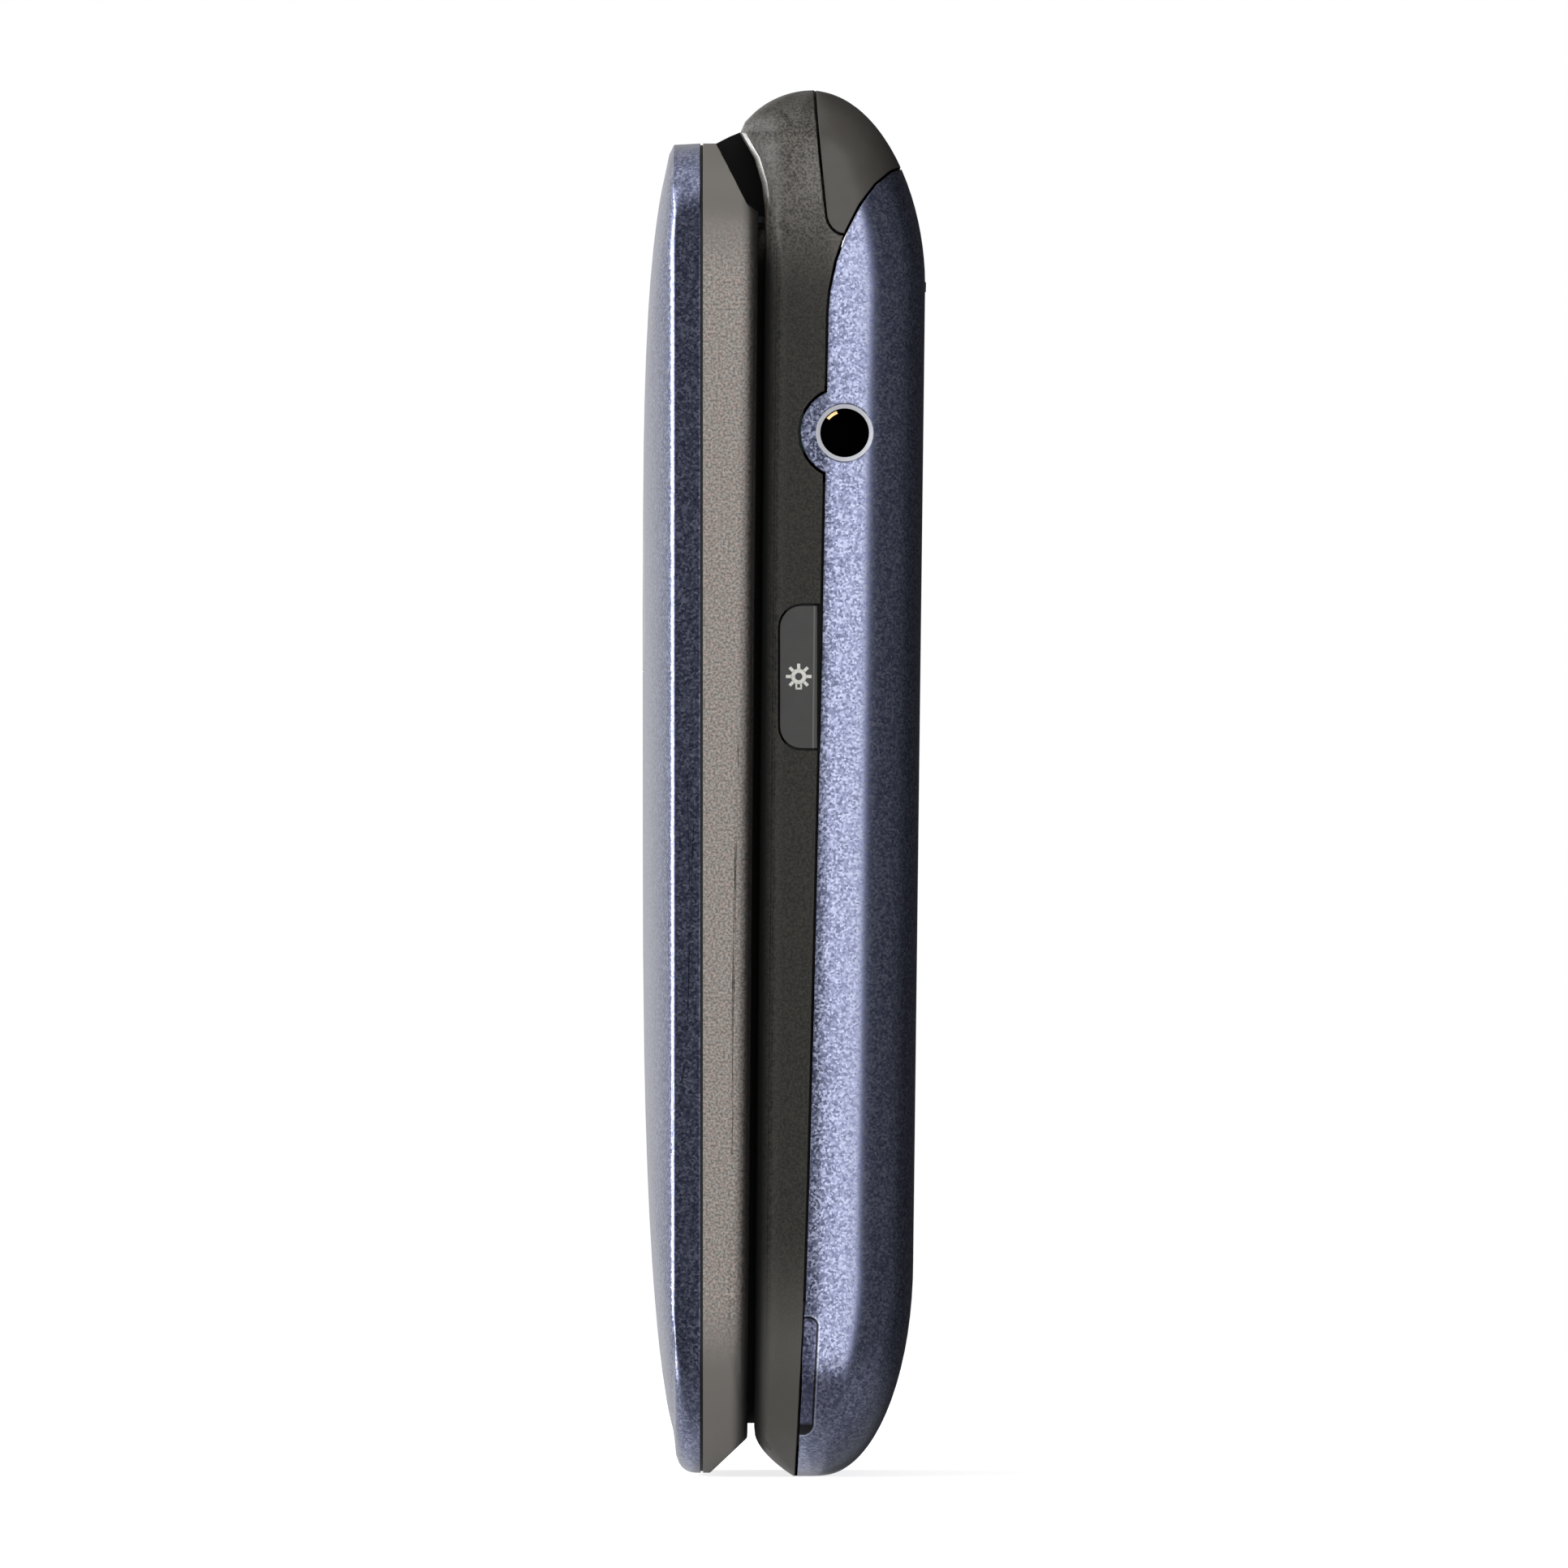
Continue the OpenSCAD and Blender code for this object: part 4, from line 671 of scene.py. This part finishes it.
def dress(piece, body, slot, finish=None):
    """Links a new piece, ties it to a body, and gives it a finish or, failing that, the material slot's own.
    """
    bpy.context.scene.collection.objects.link(piece)
    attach(piece, body)
    piece.data.materials.append(finish or FINISHES[slot])


def cut_at_stations(bm, start, inward):
    """Cuts along planes that lean with the face, at the stations of the round edge that begins at start.

    A plane's level doesn't matter, as it goes through the whole length of the face."""
    lean, level = math.radians(FACE_LEAN), 50
    for station in EDGE_STATIONS:
        bmesh.ops.bisect_plane(bm, geom=bm.verts[:] + bm.edges[:] + bm.faces[:], dist=WELD,
                               plane_co=((face_at(level) + start + inward * station) * MM, 0, level * MM),
                               plane_no=(math.cos(lean), 0, -math.sin(lean)))


def mark_skin(bm, form, skin):
    """Marks the outer faces: all corners near the form and none proud of it, and facing as it does."""
    near = {}
    for vert in bm.verts:
        place, normal, gap = form.nearest(vert.co)
        near[vert] = gap < SKIN_REACH and (vert.co - place).dot(normal) < SKIN_PROUD * MM
    for face in bm.faces:
        _, normal, gap = form.nearest(face.calc_center_median())
        face[skin] = (gap < SKIN_REACH and all(near[vert] for vert in face.verts)
                      and face.normal.dot(normal) > SKIN_FACING)


def lay_skin(bm, form, skin, tested):
    """Moves the skin's corners to the form and halves its edges where the form bends, round by round."""
    fresh = {vert for face in bm.faces if face[skin] for vert in face.verts}
    for _ in range(SPLIT_ROUNDS):
        for vert in fresh:
            vert.co = form.nearest(vert.co)[0]
        long = []
        for edge in bm.edges:
            if not edge[tested] and any(face[skin] for face in edge.link_faces):
                bends = form.bends(edge)
                edge[tested] = not bends
                if bends:
                    long.append(edge)
        if not long or len(bm.faces) > MOST_FACES:
            break
        made = bmesh.ops.subdivide_edges(bm, edges=long, cuts=1)
        fresh = {vert for vert in made["geom_inner"] if isinstance(vert, bmesh.types.BMVert)}
        bmesh.ops.triangulate(bm, faces=[face for face in bm.faces if len(face.verts) > 3])
    for edge in bm.edges:
        sides = [face[skin] for face in edge.link_faces]
        edge.smooth = len(set(sides)) == 1 and (sides[0] == 1 or edge.calc_face_angle(0) < CREASE_ANGLE)


def shade_skin(mesh, form):
    """Gives the skin's corners the form's own normals; a zero leaves the others as they are."""
    on_skin = np.zeros(len(mesh.polygons), int)
    mesh.attributes["skin"].data.foreach_get("value", on_skin)
    normals = np.zeros((len(mesh.loops), 3))
    for polygon, wanted in zip(mesh.polygons, on_skin):
        if wanted:
            for loop in polygon.loop_indices:
                normals[loop] = form.nearest(mesh.vertices[mesh.loops[loop].vertex_index].co)[1]
    mesh.polygons.foreach_set("use_smooth", np.ones(len(mesh.polygons), bool))
    mesh.normals_split_custom_set(normals.tolist())


def true_shell(node, form, edge_start=None):
    """Copy of a shell whose outer skin, split fine where it bends, is laid on the shell's true form.

    edge_start is where a round edge begins, as a distance from the leaning face, and its sign inwards."""
    source = frame["nodes"][node]
    bm = bmesh.new()
    bm.from_mesh(source.data)
    bmesh.ops.remove_doubles(bm, verts=bm.verts, dist=WELD)
    if edge_start is not None:
        cut_at_stations(bm, *edge_start)
    bmesh.ops.triangulate(bm, faces=bm.faces)
    skin, tested = bm.faces.layers.int.new("skin"), bm.edges.layers.int.new("tested")
    mark_skin(bm, form, skin)
    lay_skin(bm, form, skin, tested)
    mesh = bpy.data.meshes.new(node + "_true")
    bm.to_mesh(mesh)
    bm.free()
    shade_skin(mesh, form)
    piece = bpy.data.objects.new(node + "_true", mesh)
    dress(piece, BODY_OF[node], SLOT_OF[node], source.data.materials[0])
    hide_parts(node)


BASE, CROWN = Form(base_form()), Form(crown_form())
true_shell("front_housing", BASE, (0, 1))
for shell in ("rear_cap", "battery_cover"):
    true_shell(shell, BASE)
for shell in ("lid_cover", "outer_window"):
    true_shell(shell, CROWN)
true_shell("lid_frame", Form(frame_form()), (-LID_GAP, -1))


# ---------- shade pieces and trim -----

BACK_RING_SUNK = -0.1
LEAF_ARC, LEAF_R, LEAF_Y = (110, 140), (1.5, 1.72), (-23.9, -20.0)
# Corners of the shades: those beside the hinge as (x, z) with their distances from the middle.
HINGE_SHADE, HINGE_SHADE_Y = ((-1.65, 92.38), (-1.2, 93.0)), (16.3, 17.9)
LID_SHADE, LID_SHADE_Y = ((-2.45, 92.5), (-1.62, 93.0)), (18.3, 20.0)
KEY_SLOT_SHADE = (-0.8, -22.7, 52.0), (-0.25, -22.5, 67.0)


def tube(rings, closed=False):
    """Points and faces through rings of equally many points; closed joins the last ring to the first, else
    both ends are capped."""
    rings = np.array(rings, float)
    turns, count = rings.shape[:2]
    faces = quads(turns, count, closed).tolist()
    if not closed:
        faces += [list(range(count)), list(range((turns - 1) * count, turns * count))]
    return rings.reshape(-1, 3), faces


def solid(name, body, slot, tubes, finish=None):
    """Piece of one or more tubes, its faces turned outwards."""
    points, faces = [], []
    for spots, sides in tubes:
        first = sum(map(len, points))
        faces += [[first + corner for corner in side] for side in sides]
        points.append(spots)
    mesh = bpy.data.meshes.new(name)
    mesh.from_pydata((np.vstack(points) * MM).tolist(), [], faces)
    bm = bmesh.new()
    bm.from_mesh(mesh)
    bmesh.ops.recalc_face_normals(bm, faces=bm.faces)
    bm.to_mesh(mesh)
    bm.free()
    dress(bpy.data.objects.new(name, mesh), body, slot, finish)


def block(name, body, low, high):
    """Black box between two corners: the same rectangle at its low and its high x."""
    rings = [[(x, low[1], low[2]), (x, high[1], low[2]), (x, high[1], high[2]), (x, low[1], high[2])]
             for x in (low[0], high[0])]
    solid(name, body, "black_plastic", [tube(rings)])


def back_ring(name, slot, y, inner, outer, proud):
    """Flat ring on the back: a rectangular section carried round an axis along X."""
    a = np.linspace(0, 2 * math.pi, 37)[:-1, None]
    r = np.array([inner, outer, outer, inner])
    x = np.array([BACK_RING_SUNK, BACK_RING_SUNK, proud, proud]) + EYE_FACE
    rings = np.stack([x + 0 * a, y + r * np.cos(a), EYE_Z + r * np.sin(a)], axis=-1)
    solid(name, PHONE, slot, [tube(rings, closed=True)])


def seam_shade():
    """Black piece of painted shade inside the seam between cover and frame, so that no light shows through
    it: a rectangular section along the lid's outline.
    """
    rings = []
    for inset, x in ((SEAM_SHADE_OUT, -SEAM_SHADE_HALF), (SEAM_SHADE_OUT, SEAM_SHADE_HALF),
                     (SEAM_SHADE_IN, SEAM_SHADE_HALF), (SEAM_SHADE_IN, -SEAM_SHADE_HALF)):
        box = round_box(inset, LID_LIFT + inset, LID_TOP - inset, LOW_CORNER - inset, LID_CORNER - inset)
        rings.append(np.column_stack([np.full(len(box), LID_SEAM + x), box]))
    solid("lid_seam_shade", LID, "black_plastic", [tube(rings, closed=True)])


def hinge_shades():
    """Black blocks in the gaps beside the hinge, so that no light from the far side shows through them."""
    for name, side in (("right", -1), ("left", 1)):
        for kind, body, corners, reach in (("hinge_shade_", PHONE, HINGE_SHADE, HINGE_SHADE_Y),
                                           ("lid_shade_", LID, LID_SHADE, LID_SHADE_Y)):
            low, high = [(x, y, z) for (x, z), y in zip(corners, sorted(side * y for y in reach))]
            block(kind + name, body, low, high)


def socket_leaf():
    """Brass contact leaf that runs along the headset socket's bore: a stretch of a ring, carried inwards."""
    a = np.radians(np.linspace(*LEAF_ARC, 7))
    inner, outer = LEAF_R
    section = np.vstack([r * np.column_stack([np.cos(arc), np.sin(arc)])
                         for r, arc in ((outer, a), (inner, a[::-1]))])
    x, z = (section + (JACK_X, JACK_Z)).T
    solid("socket_leaf", PHONE, "brass_parts",
          [tube([np.column_stack([x, np.full(len(x), y), z]) for y in LEAF_Y])])


seam_shade()
hinge_shades()
block("key_slot_shade", PHONE, *KEY_SLOT_SHADE)
socket_leaf()
back_ring("camera_bezel", "ring_metal", EYE_Y, 1.75, 2.2, 0.08)
back_ring("camera_iris", "ring_metal", EYE_Y, 0.75, 0.9, 0.03)
back_ring("torch_bezel", "ring_metal", LAMP_Y, 1.35, 1.6, 0.06)
back_ring("torch_face", "lamp_lens", LAMP_Y, 0.02, 1.3, 0.04)


# ---------- print ----------

PRINT_LEVELS = (-0.01, 0.012)
LEGEND_SIZE, LEGEND_HALF = 5.6, 0.011


def printed(name, node, shapes, place, finish=PRINT_WHITE):
    """Printed mark on a key: flat shapes of (u, v) points, each a thin prism set on the surface by place."""
    tubes = []
    for shape in shapes:
        u, v = np.array(shape).T
        tubes.append(tube([np.column_stack(place(u, v, height)) for height in PRINT_LEVELS]))
    solid(name, BODY_OF[node], "key_plastic", tubes, finish)


def turned(shape, degrees, shift=(0, 0)):
    """Flat shape turned about the origin, then shifted."""
    c, s = math.cos(math.radians(degrees)), math.sin(math.radians(degrees))
    return [(u * c - v * s + shift[0], u * s + v * c + shift[1]) for u, v in shape]


def bar(u, v, w, h):
    """Rectangle round (u, v)."""
    return [(u - w / 2, v - h / 2), (u + w / 2, v - h / 2), (u + w / 2, v + h / 2), (u - w / 2, v + h / 2)]


def band(inner, outer, start, end, steps):
    """Four-sided pieces of a flat ring's sector, between two angles."""
    a = np.radians(np.linspace(start, end, steps + 1))
    return [[(r * math.cos(t), r * math.sin(t)) for r, t in ((inner, p), (outer, p), (outer, q), (inner, q))]
            for p, q in zip(a[:-1], a[1:])]


def torch_mark():
    """Lamp symbol of the torch key: ring, seven rays and a socket with a slot at the bottom."""
    shapes = band(0.27, 0.57, 0, 360, 24)
    shapes += [turned(bar(0, 0.74, 0.24, 0.42), a) for a in range(0, 360, 45) if a != 180]
    shapes += [bar(0, -0.89, 0.5, 0.14), bar(-0.18, -0.7, 0.14, 0.4), bar(0.18, -0.7, 0.14, 0.4)]
    printed("torch_key_mark", "torch_key", shapes,
            lambda u, v, h: (TORCH_X + u, -(TORCH_SIDE + TORCH_SLOPE * u) - h, TORCH_Z + v))


def on_key(y, z):
    """Place on the key tops round the spot (y, z): u to the reader's right, v up, h outwards."""
    return lambda u, v, h: (face_at(z + v) - KEY_TOP - h, y - u, z + v)


def legend(node, mark, y, z):
    """Character on a key, from the built-in outline font."""
    curve = bpy.data.curves.new(node + "_legend", "FONT")
    curve.body, curve.size, curve.align_x, curve.align_y = mark, LEGEND_SIZE, "CENTER", "CENTER"
    curve.resolution_u, curve.extrude = 4, LEGEND_HALF
    writing = bpy.data.objects.new(node + "_text", curve)
    bpy.context.scene.collection.objects.link(writing)
    bpy.context.view_layer.update()
    mesh = bpy.data.meshes.new_from_object(writing.evaluated_get(bpy.context.evaluated_depsgraph_get()))
    bpy.data.objects.remove(writing)
    spots = np.zeros(len(mesh.vertices) * 3)
    mesh.vertices.foreach_get("co", spots)
    spots = np.column_stack(on_key(y, z)(*spots.reshape(-1, 3).T)) * MM
    mesh.vertices.foreach_set("co", spots.ravel())
    mesh.materials.clear()
    dress(bpy.data.objects.new(node + "_legend", mesh), BODY_OF[node], "key_plastic", PRINT_WHITE)


def handset(turn):
    """Telephone receiver: an arc with a broad lobe at each end, its middle brought to the origin."""
    lobe, lobe_r, drop = bar(0, 0, 0.95, 0.75), 1.28, 0.9
    shapes = band(1.1, 1.65, 35, 145, 14)
    for tilt, place in ((-60, 26), (60, 154)):
        at = math.radians(place)
        shapes.append(turned(lobe, tilt, (lobe_r * math.cos(at), lobe_r * math.sin(at))))
    return [turned([(u, v - drop) for u, v in shape], turn) for shape in shapes]


def keypad_print():
    """White characters and marks, a green and a red receiver, and black arrows on the silver ring."""
    for z, marks in zip(KEY_ZS, ("123", "456", "789", "*0#")):
        for y, mark in zip((KEY_PITCH, 0, -KEY_PITCH), marks):
            legend("key_" + {"*": "star", "#": "hash"}.get(mark, mark), mark, y, z - (mark == "*"))
    printed("soft_key_left_mark", "soft_key_left", [bar(0, 0, 3.2, 0.5)], on_key(OUTER_KEY_Y, SOFT_Z))
    printed("soft_key_right_mark", "soft_key_right", [bar(0, 0, 3.2, 0.5)], on_key(-OUTER_KEY_Y, SOFT_Z))
    printed("call_key_mark", "call_key", handset(45), on_key(OUTER_KEY_Y, CALL_Z), PRINT_GREEN)
    printed("end_key_mark", "end_key", handset(0), on_key(-OUTER_KEY_Y, CALL_Z), PRINT_RED)
    arrow = [(-0.8, 5.95), (0.8, 5.95), (0, 6.95)]
    printed("direction_ring_mark", "direction_ring", [turned(arrow, a) for a in (0, 90, 180, 270)],
            on_key(0, RING_Z), FINISHES["key_plastic"])
    printed("centre_key_mark", "centre_key", band(0.7, 1.0, 0, 360, 20), on_key(0, RING_Z))


torch_mark()
keypad_print()


# ---------- studio ----------
# In metres, as Blender's own units.

FLOOR_HALF, FLOOR_DROP, FLOOR_GLOW = 0.8, 0.00002, 0.8
VIEW_WIDTH, VIEW_X, VIEW_Y, VIEW_Z = 0.11592, -0.00004, -0.013, 0.05112
FOCAL_LENGTH, SENSOR, CLIP_END = 1200, 36, 20
LAMP_TARGET = (0, 0, 0.052)
# Each lamp's place, width and height, and level.
LAMPS = {
    "camera_side": ((0.1, -1.1, 0.06), (0.2, 1.0), 4.3),
    "camera_side_dim": ((-0.16, -1.1, 0.06), (0.32, 1.0), 1.6),
    "left_side": ((-0.9, 0.05, 0.15), (0.4, 0.8), 8),
    "above": ((-0.3, -0.3, 0.9), (0.7, 0.7), 0.8),
}


def stage_floor():
    """Pale floor: diffuse, with a glow for camera rays that lifts it to white outside the shadow."""
    s = Shader("studio_floor", Base_Color=(0.8, 0.8, 0.8), Roughness=0.9, Emission_Color=(1.0, 1.0, 1.0))
    s.set(Emission_Strength=s.node("ShaderNodeLightPath", output="Is Camera Ray") * FLOOR_GLOW)
    mesh = bpy.data.meshes.new("studio_floor")
    corners = [(x * FLOOR_HALF, y * FLOOR_HALF, -FLOOR_DROP) for x, y in ((-1, -1), (1, -1), (1, 1), (-1, 1))]
    mesh.from_pydata(corners, [], [(0, 1, 2, 3)])
    mesh.materials.append(s.material)
    floor = bpy.data.objects.new("studio_floor", mesh)
    floor.visible_glossy = False
    bpy.context.scene.collection.objects.link(floor)


def softbox(name, place, size, level):
    """Area lamp at place that faces the phone. Its power is its level, a radiance, times pi and its area."""
    lamp = bpy.data.lights.new(name, "AREA")
    lamp.shape, lamp.size, lamp.size_y = "RECTANGLE", *size
    lamp.energy = level * math.pi * size[0] * size[1]
    holder = bpy.data.objects.new(name, lamp)
    holder.location = place
    holder.rotation_euler = (Vector(LAMP_TARGET) - Vector(place)).to_track_quat("-Z", "Y").to_euler()
    holder.visible_camera = False
    bpy.context.scene.collection.objects.link(holder)


def studio_world():
    """Grey surround, white for the camera and through glass.

    Gloss sees a light wall behind on the left, a dim one in front on the right and a pale floor, whereas
    matt surfaces get a softer light that is stronger on the left and from the front."""
    world = bpy.data.worlds.new("studio")
    world.use_nodes = True
    world.cycles.sampling_method = "NONE"
    bpy.context.scene.world = world
    s = Nodes(world.node_tree)
    x, y, z = s.split(s.node("ShaderNodeTexCoord", output="Generated"))
    left = 1 - x.step(-0.12, 0.12)
    left_wall = y.step(-0.5, 0.3) * 0.62 + 0.02
    right_wall = (1 - y.step(-0.1, 0.4)) * 0.1 + 0.025
    under = (1 - z.step(-0.7, -0.15)) * 0.22
    gloss = left * left_wall + (1 - left) * right_wall + under
    spread = left * 0.3 + 0.14 + (1 - y.step(-0.9, 0.1)) * 0.34
    path = s.node("ShaderNodeLightPath").socket.node.outputs
    glossy = Wire(s, path["Is Glossy Ray"])
    seen = Wire(s, path["Is Camera Ray"]).top(Wire(s, path["Is Transmission Ray"]))
    level = gloss * glossy + (1 - glossy) * spread
    s.feed(s.nodes["Background"].inputs["Strength"], level * (1 - seen) + seen)
    s.feed(s.nodes["Background"].inputs["Color"], (1, 1, 1))


def camera():
    """Long lens square on to the phone's right side, with VIEW_WIDTH across its frame at VIEW_Y."""
    lens = bpy.data.cameras.new("camera")
    lens.lens, lens.sensor_width = FOCAL_LENGTH, SENSOR
    lens.clip_end = CLIP_END
    holder = bpy.data.objects.new("camera", lens)
    holder.location = (VIEW_X, VIEW_Y - VIEW_WIDTH * FOCAL_LENGTH / SENSOR, VIEW_Z)
    holder.rotation_euler = (math.pi / 2, 0, 0)
    bpy.context.scene.collection.objects.link(holder)
    bpy.context.scene.camera = holder


stage_floor()
studio_world()
for name, (place, size, level) in LAMPS.items():
    softbox(name, place, size, level)
camera()
bpy.context.scene.view_settings.view_transform = "Standard"
